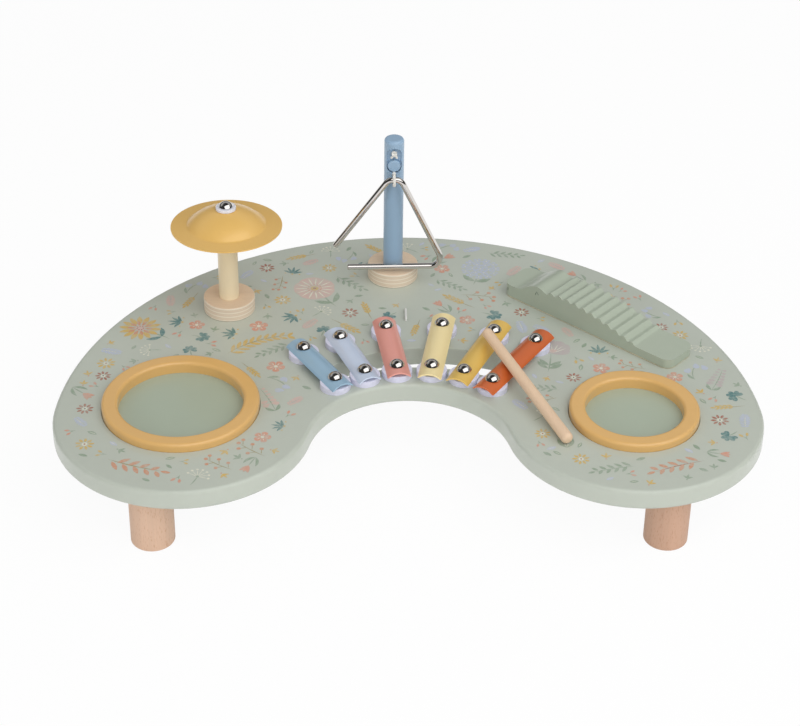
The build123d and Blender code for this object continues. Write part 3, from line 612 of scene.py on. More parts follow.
def softened(node, name, body, material):
    """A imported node's shape with its sharp edges rounded, shown in the node's place."""
    mesh = bpy.data.meshes.new(name)
    shape = bmesh.new()
    shape.from_mesh(NODES[node].data)
    bmesh.ops.remove_doubles(shape, verts=shape.verts, dist=MERGE)
    bmesh.ops.dissolve_limit(shape, angle_limit=FLAT, verts=shape.verts, edges=shape.edges)
    shape.to_mesh(mesh)
    shape.free()
    for attribute in ("custom_normal", "sharp_face", "sharp_edge"):
        if attribute in mesh.attributes:
            mesh.attributes.remove(mesh.attributes[attribute])
    mesh.materials.append(material)
    piece = add_piece(name, mesh, body, [node])
    mesh.shade_smooth()
    bevel = piece.modifiers.new("soft_edges", "BEVEL")
    bevel.width = bpy.context.scene.table_sizes.soft_edge
    bevel.segments = 3
    bevel.limit_method = "ANGLE"
    bevel.angle_limit = SHARP
    bevel.harden_normals = True
    bevel.use_clamp_overlap = True


# ---- Print on the board -----------------------------------------------------------

# One brush mark in a motif's own frame, in millimetres, where the motif grows along +Y.
# The angle is clockwise from there, and ends are 0 for a round end and 0.5 for a pointed one.
Stroke = namedtuple("Stroke", "x y angle length width ink bend ends level")
LEAF = (0.5, 0.5)
PETAL = (0.5, 0.0)
ROUND = (0.0, 0.0)
# Marks of one level still lie a little above each other, in the order in which they are drawn
LEVEL_STEP, LEVEL_STEPS = 0.04, 20
MARK_CORNERS = 14
SEED = 11


def mark(x, y, angle, length, width, ink, bend=0.0, ends=LEAF, level=1):
    """A brush mark that starts at a point."""
    return Stroke(x, y, angle, length, width, ink, bend, ends, level)


def pair(x, y, angle, length, width, ink, bend=0.0, **more):
    """Two brush marks that leave one point on either side, the left one first."""
    return [mark(x, y, side * angle, length, width, ink, side * bend, **more) for side in (-1, 1)]


def dot(x, y, width, ink, level=2):
    """A round dab."""
    return mark(x - width / 2, y, 90, width, width, ink, ends=ROUND, level=level)


def on_circle(angle, radius):
    """The point of a circle at a clockwise angle from +Y."""
    return radius * math.sin(math.radians(angle)), radius * math.cos(math.radians(angle))


def around(count, radius, start=0.0):
    """Angles evenly round a circle, with the point that each has on it."""
    angles = [start + 360 * i / count for i in range(count)]
    return [(angle, *on_circle(angle, radius)) for angle in angles]


def clover(ink, stem):
    """Three heart-shaped leaflets on a short stalk."""
    marks = [mark(0, -8, 4, 9, 1.0, stem, bend=0.2)]
    for angle in (-96, 0, 96):
        marks += [mark(0, 1.2, angle + side * 21, 6.4, 3.3, ink, ends=PETAL, level=2) for side in (-1, 1)]
    return marks


def tulip(ink, stem):
    """A cup of three petals with two long leaves."""
    marks = [mark(0, -11, 0, 12, 1.0, stem), *pair(0, -11, 26, 11.5, 2.6, stem, bend=-0.5)]
    marks += pair(0, 0, 24, 9.0, 3.6, ink, bend=0.35, level=2)
    return marks + [mark(0, 0.2, 0, 8.6, 3.2, ink, level=3)]


def berry_sprig(ink, stem):
    """A bowed twig with berries on short stalks."""
    marks = [mark(0, -12, 0, 24, 0.8, stem, bend=0.12)]
    for i in range(5):
        side, y = 1 - 2 * (i % 2), -8 + 4.2 * i
        marks.append(mark(0, y, side * 52, 5.6, 0.6, stem))
        marks.append(dot(side * 4.9, y + 3.8, 3.0, ink))
    return marks + [dot(0, 12.6, 3.1, ink)]


def wheat_ear(ink, stem):
    """A stalk with paired grains."""
    marks = [mark(0, -13, 0, 25, 0.8, stem, bend=0.06)]
    for i in range(4):
        marks += pair(0, -2.5 + 3.6 * i, 32, 5.4, 2.3, ink, level=2)
    return marks + [mark(0, 11.4, 0, 5.4, 2.2, ink, level=2)]


def blossom(ink, heart):
    """Five round petals round a heart."""
    marks = [mark(x, y, a, 6.2, 5.0, ink, ends=PETAL, level=1) for a, x, y in around(5, 0.9)]
    marks += [mark(x, y, a, 3.0, 0.7, heart, level=2) for a, x, y in around(5, 1.8)]
    return marks + [dot(0, 0, 3.0, heart)]


def daisy(ink, heart):
    """Nine narrow petals round a light heart with a dot in it."""
    marks = [mark(x, y, a, 4.6, 2.2, ink, level=1) for a, x, y in around(9, 2.3)]
    return marks + [dot(0, 0, 4.0, "ivory"), dot(0, 0, 1.5, heart, level=3)]


def seed_head(ink, stem):
    """A half-blown seed head: thin rays that end in dabs."""
    marks = [mark(0, -11, 0, 11, 0.9, stem, bend=-0.15)]
    for angle in range(-84, 85, 28):
        marks.append(mark(0, 0, angle, 7.5, 0.6, ink))
        marks.append(dot(*on_circle(angle, 7.9), 2.0, ink))
    return marks + [dot(0, 0, 2.2, stem, level=3)]


def bellflower(ink, stem):
    """A bowed stem with three hanging bells."""
    marks = [mark(-2.4, -11, 8, 21, 0.9, stem, bend=0.5)]
    for x, y, angle in ((-5.4, 2.6, 205), (-0.8, 9.4, 175), (3.8, 7.4, 150)):
        marks.append(mark(x, y + 1.8, angle, 6.8, 4.8, ink, ends=PETAL, level=2))
    return marks + [mark(-2.0, -10, -38, 9, 2.4, stem, bend=0.4)]


def feather_leaf(ink, stem):
    """A bowed leaf cut into narrow lobes."""
    marks = [mark(0, -9, 0, 18, 0.8, stem, bend=0.16)]
    for i in range(7):
        share = i / 6
        reach = 5.6 * math.sin(math.pi * (0.22 + 0.62 * share))
        marks += pair(-0.9, -7 + 13 * share, 54 - 16 * share, reach, 1.9, ink, level=2)
    return marks


def olive_branch(ink, stem):
    """A twig with alternate narrow leaves."""
    marks = [mark(0, -16, 0, 30, 0.8, stem, bend=-0.12)]
    for i in range(9):
        side, y = 1 - 2 * (i % 2), -13 + 3.0 * i
        marks.append(mark(1.2, y, side * 46, 7.8 - 0.3 * i, 2.5, ink, level=2))
    return marks + [mark(0.4, 13.5, -6, 5.4, 2.2, ink, level=2)]


def grass_tuft(ink, heart):
    """Broad blades that spread from one root, with a small bud on each side."""
    blades = ((-64, 8.0), (-31, 10.0), (-3, 11.0), (26, 10.0), (58, 8.0))
    marks = [mark(on_circle(a, 1.4)[0], -5.5, a, size, 2.3, ink, bend=a / 160) for a, size in blades]
    return marks + [dot(0, -6.2, 2.0, heart)] + [dot(side * 6.0, -5.6, 1.5, heart) for side in (-1, 1)]


def leaflet(ink, vein):
    """A single leaf with a light vein."""
    return [mark(0, -4, 0, 8, 3.4, ink), mark(0, -3.2, 0, 5.6, 0.5, vein, level=2)]


def bud_pair(ink, stem):
    """Two buds on a forked stalk."""
    marks = pair(0, -4.5, 16, 5.4, 0.7, stem, bend=0.4)
    return marks + [mark(side * 1.5, 0, side * 24, 4.8, 2.3, ink, level=2) for side in (-1, 1)]


def sprout(ink, stem):
    """Three narrow leaves from one point."""
    marks = [mark(0, -3, a, size, 2.0, ink, bend=a / 120) for a, size in ((-50, 5.6), (0, 6.8), (50, 5.6))]
    return marks + [dot(0, -4.2, 1.4, stem)]


def poppy(ink, heart):
    """A large open flower with overlapping petals, a stem and two leaves."""
    marks = [mark(0, -34, 6, 30, 1.4, "moss", bend=0.3), *pair(0.8, -27, 46, 16, 5.0, "moss", bend=-0.3)]
    marks += [mark(x, y, a, 17, 18, ink, ends=PETAL, level=2) for a, x, y in around(5, 0.5, 14)]
    marks += [mark(x, y, a, 12, 1.2, "ivory", level=3) for a, x, y in around(15, 4.5, 14)]
    marks += [dot(x, y, 1.3, "terracotta", level=5) for a, x, y in around(12, 5.6)]
    return marks + [dot(0, 0, 7.0, "ochre", level=4), dot(0, 0, 3.0, heart, level=5)]


def peony(ink, heart):
    """A large cupped flower seen from its side, on a leafy stem."""
    marks = [mark(0, -36, -3, 32, 1.4, "moss", bend=-0.1)]
    for y, size in ((-30, 15), (-25, 13)):
        marks += pair(-0.4, y, 48, size, 4.8, "moss", bend=-0.3)
    for angle, size, wide in ((58, 17, 10), (36, 21, 12), (14, 22, 12)):
        marks += pair(0, -6, angle, size, wide, ink, ends=PETAL, level=2)
    marks += [mark(0, -5, a, 15, 0.9, "ivory", level=3) for a in (-48, -30, -12, 12, 30, 48)]
    return marks + [mark(0, -5, a, 8, 2.4, heart, level=4) for a in (-26, 0, 26)]


def dahlia(ink, heart):
    """A large many-petalled flower."""
    marks = [mark(0, -30, -4, 22, 1.4, "moss", bend=-0.2), *pair(-0.6, -22, 52, 13, 4.4, "teal", bend=-0.3)]
    marks += [mark(x, y, a, 11.5, 4.6, ink, level=2) for a, x, y in around(14, 6.0)]
    marks += [mark(x, y, a, 7.0, 3.0, "terracotta", level=3) for a, x, y in around(10, 3.8, 9)]
    marks.append(dot(0, 0, 8.0, heart, level=4))
    return marks + [dot(x, y, 1.2, "rust_ink", level=5) for a, x, y in around(7, 2.6)]


def willow(ink, stem):
    """A long bowed branch of narrow leaves."""
    marks = [mark(0, -34, 0, 66, 1.3, stem, bend=0.4)]
    for i in range(9):
        share = i / 8
        y, x = -29 + 56 * share, -6.4 * (1 - (2 * share - 1) ** 2)
        for side in (-1, 1):
            marks.append(mark(x, y, side * 40 - 14 * (1 - 2 * share), 13 - 5 * share, 3.8, ink, level=2))
    return marks


def foxglove(ink, stem):
    """A spire of bells that get smaller towards its top."""
    marks = [mark(0, -26, 0, 52, 1.3, stem, bend=-0.12)]
    for i in range(6):
        share = i / 5
        y, angle, size, wide = -8 + 31 * share, 112 - 30 * share, 10 - 5 * share, 6.4 - 3 * share
        for side in (-1, 1):
            marks.append(mark(side * 0.8, y, side * angle, size, wide, ink, ends=PETAL, level=2))
    return marks + pair(0, -24, 40, 14, 4.8, "moss", bend=-0.4)


def hydrangea(ink, heart):
    """A round head of many four-petalled florets."""
    marks = [mark(0, -28, 3, 18, 1.4, "moss"), *pair(0, -22, 58, 15, 5.6, "moss", bend=-0.3)]
    for ring, count in ((0.0, 1), (7.4, 6), (14.0, 11)):
        for turn, x, y in around(count, ring, ring * 3):
            for angle, right, up in around(4, 0.4, turn + 45):
                marks.append(mark(x + right, y + up, angle, 3.7, 3.2, ink, ends=PETAL, level=2))
            marks.append(dot(x, y, 1.3, heart, level=3))
    return marks


# Large motifs: what, its inks, its place on the board in millimetres, its turn and its scale
LARGE_MOTIFS = (
    (poppy, ("rose", "rust_ink"), (-72, 92), -34, 0.95),
    (hydrangea, ("lavender_ink", "ivory"), (62, 122), 16, 0.9),
    (dahlia, ("ochre", "rose"), (-206, 34), -58, 0.95),
    (willow, ("ochre", "olive"), (-112, 12), 62, 0.85),
    (foxglove, ("rose", "moss"), (-104, -62), -24, 0.62),
    (peony, ("mauve", "rose"), (112, 4), 12, 0.85),
    (foxglove, ("mauve", "moss"), (232, -36), 24, 0.6),
    (olive_branch, ("terracotta", "olive"), (-194, -142), 110, 1.4),
    (olive_branch, ("terracotta", "rust_ink"), (189, -144), -110, 1.3),
    (olive_branch, ("teal", "moss"), (-28, 128), 84, 1.1),
    (wheat_ear, ("ochre", "olive"), (44, 72), -52, 1.1),
)
# Motifs that fill the rest, the middle-sized ones first: what, and its inks
MIDDLE_MOTIFS = (
    (grass_tuft, ("teal", "ochre")),
    (daisy, ("rust_ink", "navy")),
    (feather_leaf, ("lavender_ink", "ivory")),
    (wheat_ear, ("ochre", "olive")),
    (blossom, ("coral_ink", "ivory")),
    (olive_branch, ("moss", "moss")),
    (berry_sprig, ("terracotta", "olive")),
    (clover, ("teal", "moss")),
    (daisy, ("ochre", "rust_ink")),
    (bellflower, ("lavender_ink", "moss")),
    (tulip, ("coral_ink", "moss")),
    (feather_leaf, ("rose", "mauve")),
    (seed_head, ("ivory", "moss")),
)
SMALL_MOTIFS = (
    (leaflet, ("moss", "ivory")),
    (sprout, ("ochre", "terracotta")),
    (leaflet, ("moss", "moss")),
    (bud_pair, ("coral_ink", "moss")),
    (leaflet, ("lavender_ink", "ivory")),
    (sprout, ("moss", "moss")),
    (bud_pair, ("ochre", "moss")),
)
# Bare paint round the marks of a large motif, in millimetres
LARGE_GAP = 5.0
# How the others are thrown: how often, the bare paint round a mark, and their smallest and largest scale
MIDDLE_THROWS = (30000, 4.2, (0.85, 1.1))
SMALL_THROWS = (20000, 3.8, (0.8, 1.05))
# Circles that are kept bare, in front of the staple and along the curved front edge: middle and radius
BARE_SPOTS = (((9.0, 84.0), 16.0), ((-14.0, 84.0), 14.0), ((0.0, -117.3), 90.0))
# The board itself and what stands on it
STANDING = (
    "table_top", "drum_ring_left", "drum_ring_right", "bar_spacers", "cymbal_base", "triangle_base",
    "scraper", "mallet_staple", *["bar_" + bar for bar in BARS],
)
# The print is laid out on square cells, in millimetres, which reach this many past the board's box
CELL, CELLS_BESIDE = 1.5, 4
# Rays go down from higher than anything that stands on the board
RAY_START = TOP_Z + 0.3


def ray_tree(names):
    """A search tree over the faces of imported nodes."""
    corners, faces = [], []
    for name in names:
        mesh, start = NODES[name].data, len(corners)
        corners += [vertex.co.copy() for vertex in mesh.vertices]
        faces += [[start + i for i in face.vertices] for face in mesh.polygons]
    return BVHTree.FromPolygons(corners, faces)


def bare_test(names):
    """A test of whether the board's flat top is the first thing below a plan point in millimetres."""
    tree, close = ray_tree(names), 0.02 * MM

    def is_bare(x, y):
        hit = tree.ray_cast(Vector((x * MM, y * MM, RAY_START)), Vector((0, 0, -1)))[0]
        return hit is not None and abs(hit.z - TOP_Z) < close

    return is_bare


def cell_of(x, y):
    """The cell of the stencil that holds a point in millimetres."""
    return round(x / CELL), round(y / CELL)


def block(stencil, x, y, reach):
    """Closes the stencil's cells round a point."""
    span = math.ceil(reach / CELL)
    column, row = cell_of(x, y)
    for i in range(-span, span + 1):
        for j in range(-span, span + 1):
            if math.hypot(i, j) * CELL <= reach:
                stencil.add((column + i, row + j))


def board_stencil(margin):
    """The cells that the print leaves bare: beside the board, under what stands on it and near edges."""
    is_free = bare_test(STANDING)
    low, high = [cell_of(corner.x / MM, corner.y / MM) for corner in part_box("table_top")]
    columns, rows = [range(a - CELLS_BESIDE, b + CELLS_BESIDE + 1) for a, b in zip(low, high)]
    closed = {(i, j) for i in columns for j in rows if not is_free(i * CELL, j * CELL)}
    stencil = set(closed)
    for i, j in closed:
        if not {(i + 1, j), (i - 1, j), (i, j + 1), (i, j - 1)} <= closed:
            block(stencil, i * CELL, j * CELL, margin)
    for (x, y), reach in BARE_SPOTS:
        block(stencil, x, y, reach)
    return stencil


def placed(marks, spot, turn, scale):
    """A motif's marks moved to their place, each with its root, its middle and its tip on the board."""
    cosine, sine = math.cos(math.radians(turn)), math.sin(math.radians(turn))
    moved = []
    for stroke in marks:
        points = []
        for share in (0.0, 0.5, 1.0):
            right, up = on_circle(stroke.angle, share * stroke.length)
            x, y = stroke.x + right, stroke.y + up
            across, along = x * cosine + y * sine, y * cosine - x * sine
            points.append((spot[0] + scale * across, spot[1] + scale * along))
        length, width = stroke.length * scale, stroke.width * scale
        moved.append((stroke._replace(angle=stroke.angle + turn, length=length, width=width), points))
    return moved


def scatter(chance, motifs, stencil, tries, gap, scales):
    """Motifs thrown on the open parts of the stencil, in turn, each closing the cells round it."""
    low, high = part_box("table_top")
    found, count = [], 0
    for _ in range(tries):
        what, inks = motifs[count % len(motifs)]
        spot = chance.uniform(low.x, high.x) / MM, chance.uniform(low.y, high.y) / MM
        turn, scale = chance.uniform(-180, 180), chance.uniform(*scales)
        if cell_of(*spot) in stencil:
            continue
        marks = placed(what(*inks), spot, turn, scale)
        points = [point for stroke, along in marks for point in along]
        if any(cell_of(*point) in stencil for point in points):
            continue
        for point in points:
            block(stencil, *point, gap)
        found += marks
        count += 1
    return found


def lay_out_print(margin):
    """All the brush marks of the print."""
    stencil, is_board, chance = board_stencil(margin / MM), bare_test(["table_top"]), random.Random(SEED)
    marks = []
    for what, inks, spot, turn, scale in LARGE_MOTIFS:
        for stroke, points in placed(what(*inks), spot, turn, scale):
            if all(is_board(*point) for point in points):
                marks.append((stroke, points))
                for point in points:
                    block(stencil, *point, LARGE_GAP)
    marks += scatter(chance, MIDDLE_MOTIFS, stencil, *MIDDLE_THROWS)
    return marks + scatter(chance, SMALL_MOTIFS, stencil, *SMALL_THROWS)


def stroke_points(marks, inks):
    """A mesh of loose points, one for each brush mark, that carry what the mark is like."""
    mesh = bpy.data.meshes.new("strokes")
    spots = [(middle[0] * MM, middle[1] * MM, 0.0) for stroke, (root, middle, tip) in marks]
    mesh.from_pydata(spots, [], [])
    strokes = [stroke for stroke, points in marks]
    levels = [stroke.level + LEVEL_STEP * (i % LEVEL_STEPS) for i, stroke in enumerate(strokes)]
    columns = {
        "spot": ("FLOAT_VECTOR", "vector", spots),
        "turn": ("FLOAT", "value", [(math.radians(90 - stroke.angle),) for stroke in strokes]),
        "size": ("FLOAT_VECTOR", "vector", [(s.length * MM, s.width * MM, s.bend) for s in strokes]),
        "ends": ("FLOAT_VECTOR", "vector", [(*s.ends, level) for s, level in zip(strokes, levels)]),
        "ink": ("FLOAT_COLOR", "color", [opaque(getattr(inks, stroke.ink)) for stroke in strokes]),
    }
    for name, (kind, field, rows) in columns.items():
        attribute = mesh.attributes.new(name, kind, "POINT")
        attribute.data.foreach_set(field, [value for row in rows for value in row])
    return mesh


def named(tree, name, kind="FLOAT_VECTOR"):
    """A named attribute's value in a Geometry Nodes tree."""
    return result_of(tree, "GeometryNodeInputNamedAttribute", {"Name": name}, data_type=kind)


def added(tree, first, second):
    """The sum of two vectors."""
    return result_of(tree, "ShaderNodeVectorMath", {0: first, 1: second}, operation="ADD")


def brush_marks(name):
    """Puts a disc at each point and shapes it into a brush mark: tapered, bowed, turned and lifted."""
    inputs = (("Points", "Geometry"), ("Corners", "Int"), ("Lift", "Float"), ("Finish", "Material"))
    tree, given, result = new_tree(name, "GeometryNodeTree", inputs, (("Marks", "Geometry"),))
    round_disc = {"Vertices": given["Corners"], "Radius": 0.5}
    disc = result_of(tree, "GeometryNodeMeshCircle", round_disc, fill_type="NGON")
    copies = result_of(tree, "GeometryNodeInstanceOnPoints", {"Points": given["Points"], "Instance": disc})
    real = result_of(tree, "GeometryNodeRealizeInstances", {0: copies})

    place, spot = result_of(tree, "GeometryNodeInputPosition"), named(tree, "spot")
    local = result_of(tree, "ShaderNodeVectorMath", {0: place, 1: spot}, operation="SUBTRACT")
    x, y = xyz(tree, local)[:2]
    long, wide, bend = xyz(tree, named(tree, "size"))
    root, tip, level = xyz(tree, named(tree, "ends"))
    from_root = calculate(tree, "MAXIMUM", calculate(tree, "ADD", x, 0.5), 0.0001)
    from_tip = calculate(tree, "MAXIMUM", calculate(tree, "SUBTRACT", 0.5, x), 0.0001)
    at_root, at_tip = calculate(tree, "POWER", from_root, root), calculate(tree, "POWER", from_tip, tip)
    to_full = calculate(tree, "POWER", 2.0, calculate(tree, "ADD", root, tip))
    across = product(tree, y, product(tree, at_root, at_tip, to_full), wide)
    bow = calculate(tree, "SUBTRACT", 0.25, product(tree, x, x))
    sideways = calculate(tree, "ADD", across, product(tree, bow, bend, long))
    flat = result_of(tree, "ShaderNodeCombineXYZ", {"X": product(tree, x, long), "Y": sideways})
    aimed = {"Vector": flat, "Angle": named(tree, "turn", "FLOAT")}
    turned = result_of(tree, "ShaderNodeVectorRotate", aimed, rotation_type="Z_AXIS")
    raised = result_of(tree, "ShaderNodeCombineXYZ", {"Z": product(tree, level, given["Lift"])})
    final = added(tree, added(tree, turned, spot), raised)
    shaped = result_of(tree, "GeometryNodeSetPosition", {"Geometry": real, "Position": final})
    inked = {"Geometry": shaped, "Material": given["Finish"]}
    fill(tree, result, {0: result_of(tree, "GeometryNodeSetMaterial", inked)})
    return tree


def brushed_mesh(marks, inks, finish, lift):
    """The mesh of a set of brush marks that lie just above Z = 0."""
    inputs = {"Corners": MARK_CORNERS, "Lift": lift, "Finish": finish}
    mesh = made_by_nodes(stroke_points(marks, inks), shared(brush_marks), inputs)
    for name in ("spot", "turn", "size", "ends"):
        mesh.attributes.remove(mesh.attributes[name])
    return mesh


# ---- Cord -------------------------------------------------------------------------

# A cord has three strands of half its width, each with this many corners round it
STRANDS, STRAND_SHARE, STRAND_CORNERS = 3, 0.5, 10
# A strand goes once round the cord in this many of the cord's widths
LAY = 3.2
CORD_STEP = 0.25 * MM
# The loop's route: how far behind the rod and how high above the loop's middle, in shares of its radius
LOOP_ROUTE = (
    (1.3, 0.35), (0.7, 0.95), (0.0, 1.12), (-0.9, 0.95), (-1.2, 0.0),
    (-0.9, -0.95), (0.0, -1.12), (0.7, -0.95), (1.3, -0.35),
)
# How far above and below the middle the cord's two ends enter the post, in the same shares
LOOP_ENDS = 0.3
# The knot's route, in shares of half its box along each axis
KNOT_ROUTE = (
    (-0.8, 0.2, -0.86), (-0.5, 0.2, -0.3), (0.2, -0.55, 0.2), (0.62, 0.1, 0.55), (0.0, 0.5, 0.8),
    (-0.62, 0.1, 0.5), (-0.2, -0.6, 0.1), (0.35, 0.0, -0.25), (0.6, 0.35, 0.2), (0.1, 0.6, 0.42),
    (-0.2, -0.1, 0.0), (0.5, 0.2, -0.4), (0.8, 0.2, -0.86),
)
# The knot is pulled tight, which leaves its cord this share of its width
KNOT_PULL = 0.78


def cord_strands(name):
    """Lays twisted strands round a line and gives each a round section."""
    inputs = (
        ("Line", "Geometry"), ("Strands", "Int"), ("Strand Radius", "Float"), ("Lay Radius", "Float"),
        ("Twist per Metre", "Float"), ("Step", "Float"), ("Corners", "Int"), ("Finish", "Material"),
    )
    tree, given, result = new_tree(name, "GeometryNodeTree", inputs, (("Cord", "Geometry"),))
    stepped = {"Curve": given["Line"], "Length": given["Step"]}
    even = result_of(tree, "GeometryNodeResampleCurve", stepped, mode="LENGTH")
    times = {0: even, "Amount": given["Strands"]}
    strands, number = add_node(tree, "GeometryNodeDuplicateElements", times, domain="SPLINE").outputs
    kept = {"Geometry": strands, "Name": "strand", "Value": number}
    known = result_of(tree, "GeometryNodeStoreNamedAttribute", kept, data_type="INT", domain="CURVE")
    share = calculate(tree, "DIVIDE", named(tree, "strand", "INT"), given["Strands"])
    run = add_node(tree, "GeometryNodeSplineParameter").outputs["Length"]
    turns = calculate(tree, "MULTIPLY_ADD", run, given["Twist per Metre"], share)
    aimed = {
        "Vector": result_of(tree, "GeometryNodeInputNormal"),
        "Axis": result_of(tree, "GeometryNodeInputTangent"),
        "Angle": product(tree, turns, 2 * math.pi),
    }
    turned = result_of(tree, "ShaderNodeVectorRotate", aimed, rotation_type="AXIS_ANGLE")
    offset = scaled(tree, turned, given["Lay Radius"])
    laid = result_of(tree, "GeometryNodeSetPosition", {"Geometry": known, "Offset": offset})
    circle = {"Resolution": given["Corners"], "Radius": given["Strand Radius"]}
    section = result_of(tree, "GeometryNodeCurvePrimitiveCircle", circle)
    swept = {"Curve": laid, "Profile Curve": section, "Fill Caps": True}
    tube = result_of(tree, "GeometryNodeCurveToMesh", swept)
    smooth = result_of(tree, "GeometryNodeSetShadeSmooth", {"Geometry": tube})
    real = result_of(tree, "GeometryNodeRealizeInstances", {0: smooth})
    done = {"Geometry": real, "Material": given["Finish"]}
    fill(tree, result, {0: result_of(tree, "GeometryNodeSetMaterial", done)})
    return tree


def smooth_line(points):
    """A NURBS line through the neighbourhood of points, from the first to the last."""
    line = bpy.data.curves.new("line", "CURVE")
    line.dimensions = "3D"
    line.resolution_u = 24
    spline = line.splines.new("NURBS")
    spline.points.add(len(points) - 1)
    for target, point in zip(spline.points, points):
        target.co = (*point, 1.0)
    spline.order_u = 3
    spline.use_endpoint_u = True
    return line


def twisted_cord(points, width, finish):
    """The mesh of a cord along a line of points."""
    radius = width / 2
    inputs = {
        "Strands": STRANDS,
        "Strand Radius": radius * STRAND_SHARE,
        "Lay Radius": radius * (1 - STRAND_SHARE),
        "Twist per Metre": 1 / (LAY * width),
        "Step": CORD_STEP,
        "Corners": STRAND_CORNERS,
        "Finish": finish,
    }
    return made_by_nodes(smooth_line(points), shared(cord_strands), inputs)


# ---- Edges of the board -----------------------------------------------------------

# Quarter round of the board's edges, how far its strips stand proud of it, and their rows of faces
EDGE_RADIUS, RIM_PROUD, RIM_ROWS = 3.0 * MM, 0.03 * MM, 12
# Corners this close to a height are at that height
SAME_HEIGHT = 0.004 * MM


def wall_end(height):
    """The plan points of the board's outline where its side wall ends, anticlockwise, in metres."""
    shape = bmesh.new()
    shape.from_mesh(NODES["table_top"].data)
    bmesh.ops.remove_doubles(shape, verts=shape.verts, dist=MERGE)
    edges = [edge for edge in shape.edges if all(abs(v.co.z - height) < SAME_HEIGHT for v in edge.verts)]
    beside = {}
    for edge in edges:
        first, second = edge.verts
        beside.setdefault(first, []).append(second)
        beside.setdefault(second, []).append(first)
    start = min(beside, key=lambda vert: vert.co.x)
    loop = [start, beside[start][0]]
    while loop[-1] is not start:
        loop.append(next(vert for vert in beside[loop[-1]] if vert is not loop[-2]))
    points = [vert.co.xy.copy() for vert in loop[:-1]]
    shape.free()
    turning = sum(a.cross(b) for a, b in zip(points, points[1:] + points[:1]))
    return points if turning > 0 else points[::-1]


def rounded_rim(name, height, side, material):
    """A strip a hair above the quarter round from the end of the side wall to the top of the board,
    or to its underside where side is -1."""
    mesh, points = bpy.data.meshes.new(name), wall_end(height)
    count, corners, rows = len(points), [], RIM_ROWS
    for i, point in enumerate(points):
        back, ahead = point - points[i - 1], points[(i + 1) % count] - point
        along = back / back.length_squared + ahead / ahead.length_squared
        outward = Vector((along.y, -along.x)).normalized()
        for row in range(rows + 1):
            angle = row / rows * math.pi / 2
            sine, cosine = math.sin(angle), math.cos(angle)
            inset = EDGE_RADIUS * (1 - cosine) - RIM_PROUD * sine * cosine
            rise = (EDGE_RADIUS + RIM_PROUD * sine) * sine
            corners.append((*(point - inset * outward), height + side * rise))
    faces = []
    for i in range(count):
        near, far = i * (rows + 1), (i + 1) % count * (rows + 1)
        faces += [(near + row, far + row, far + row + 1, near + row + 1)[::side] for row in range(rows)]
    mesh.from_pydata(corners, [], faces)
    mesh.materials.append(material)
    mesh.shade_smooth()
    return mesh


# ---- Operators, one for each piece or group of like pieces --------------------------


class MUSIC_OT_board(bpy.types.Operator):
    """Paint the board"""

    bl_idname = "music_table.board"
    bl_label = "Board"

    def execute(self, context):
        paint = satin_paint("sage_paint", context.scene.table_colours.board)
        dress(["table_top"], paint)
        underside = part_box("table_top")[0].z
        rims = (("board_rim", TOP_Z - EDGE_RADIUS, 1), ("board_lower_rim", underside + EDGE_RADIUS, -1))
        for name, height, side in rims:
            add_piece(name, rounded_rim(name, height, side, paint), "table")
        return {"FINISHED"}


class MUSIC_OT_print(bpy.types.Operator):
    """Print the botanical motifs on the board"""

    bl_idname = "music_table.print"
    bl_label = "Print"

    def execute(self, context):
        sizes, colours = context.scene.table_sizes, context.scene.table_colours
        marks = lay_out_print(sizes.print_margin)
        finish = printed_ink("printed_ink", colours.board)
        mesh = brushed_mesh(marks, context.scene.print_inks, finish, sizes.print_lift)
        mesh.transform(Matrix.Translation((0, 0, TOP_Z)))
        add_piece("botanical_print", mesh, "table")
        return {"FINISHED"}


class MUSIC_OT_legs(bpy.types.Operator):
    """Finish the four beech legs"""

    bl_idname = "music_table.legs"
    bl_label = "Legs"

    def execute(self, context):
        dress(LEGS, bare_wood("beech", context.scene.table_colours.beech))
        dress(["leg_front_right"], bare_wood("beech_deep", context.scene.table_colours.beech_deep))
        return {"FINISHED"}


class MUSIC_OT_fixings(bpy.types.Operator):
    """Finish the bolts, sleeves and screws under the board"""

    bl_idname = "music_table.fixings"
    bl_label = "Fixings"

    def execute(self, context):
        dress(FIXINGS, zinc_steel())
        return {"FINISHED"}


class MUSIC_OT_drums(bpy.types.Operator):
    """Finish the drum rings and heads"""

    bl_idname = "music_table.drums"
    bl_label = "Drums"

    def execute(self, context):
        colours = context.scene.table_colours
        rings = satin_paint("ochre_paint", colours.rings, gloss=0.36, coat=0.6)
        dress(["drum_ring_left", "drum_ring_right"], rings)
        dress(["drum_head_left", "drum_head_right"], drum_film(colours.heads))
        return {"FINISHED"}


class MUSIC_OT_bars(bpy.types.Operator):
    """Finish the chime bars, the staple, and the foam and dome screws of bars and cymbal"""

    bl_idname = "music_table.bars"
    bl_label = "Chime bars"

    def execute(self, context):
        colours = context.scene.table_colours
        for bar in BARS:
            finish = lacquered_metal("bar_" + bar, getattr(colours, bar))
            softened("bar_" + bar, "chime_" + bar, "table", finish)
        dress(["bar_spacers", "cymbal_washer"], cell_foam(colours.foam))
        dress(["bar_screws", "cymbal_screw"], polished_chrome("dome_chrome"))
        dress(["mallet_staple"], lacquered_metal("bright_wire", (0.88, 0.88, 0.85), gloss=0.3, metallic=0.2))
        return {"FINISHED"}


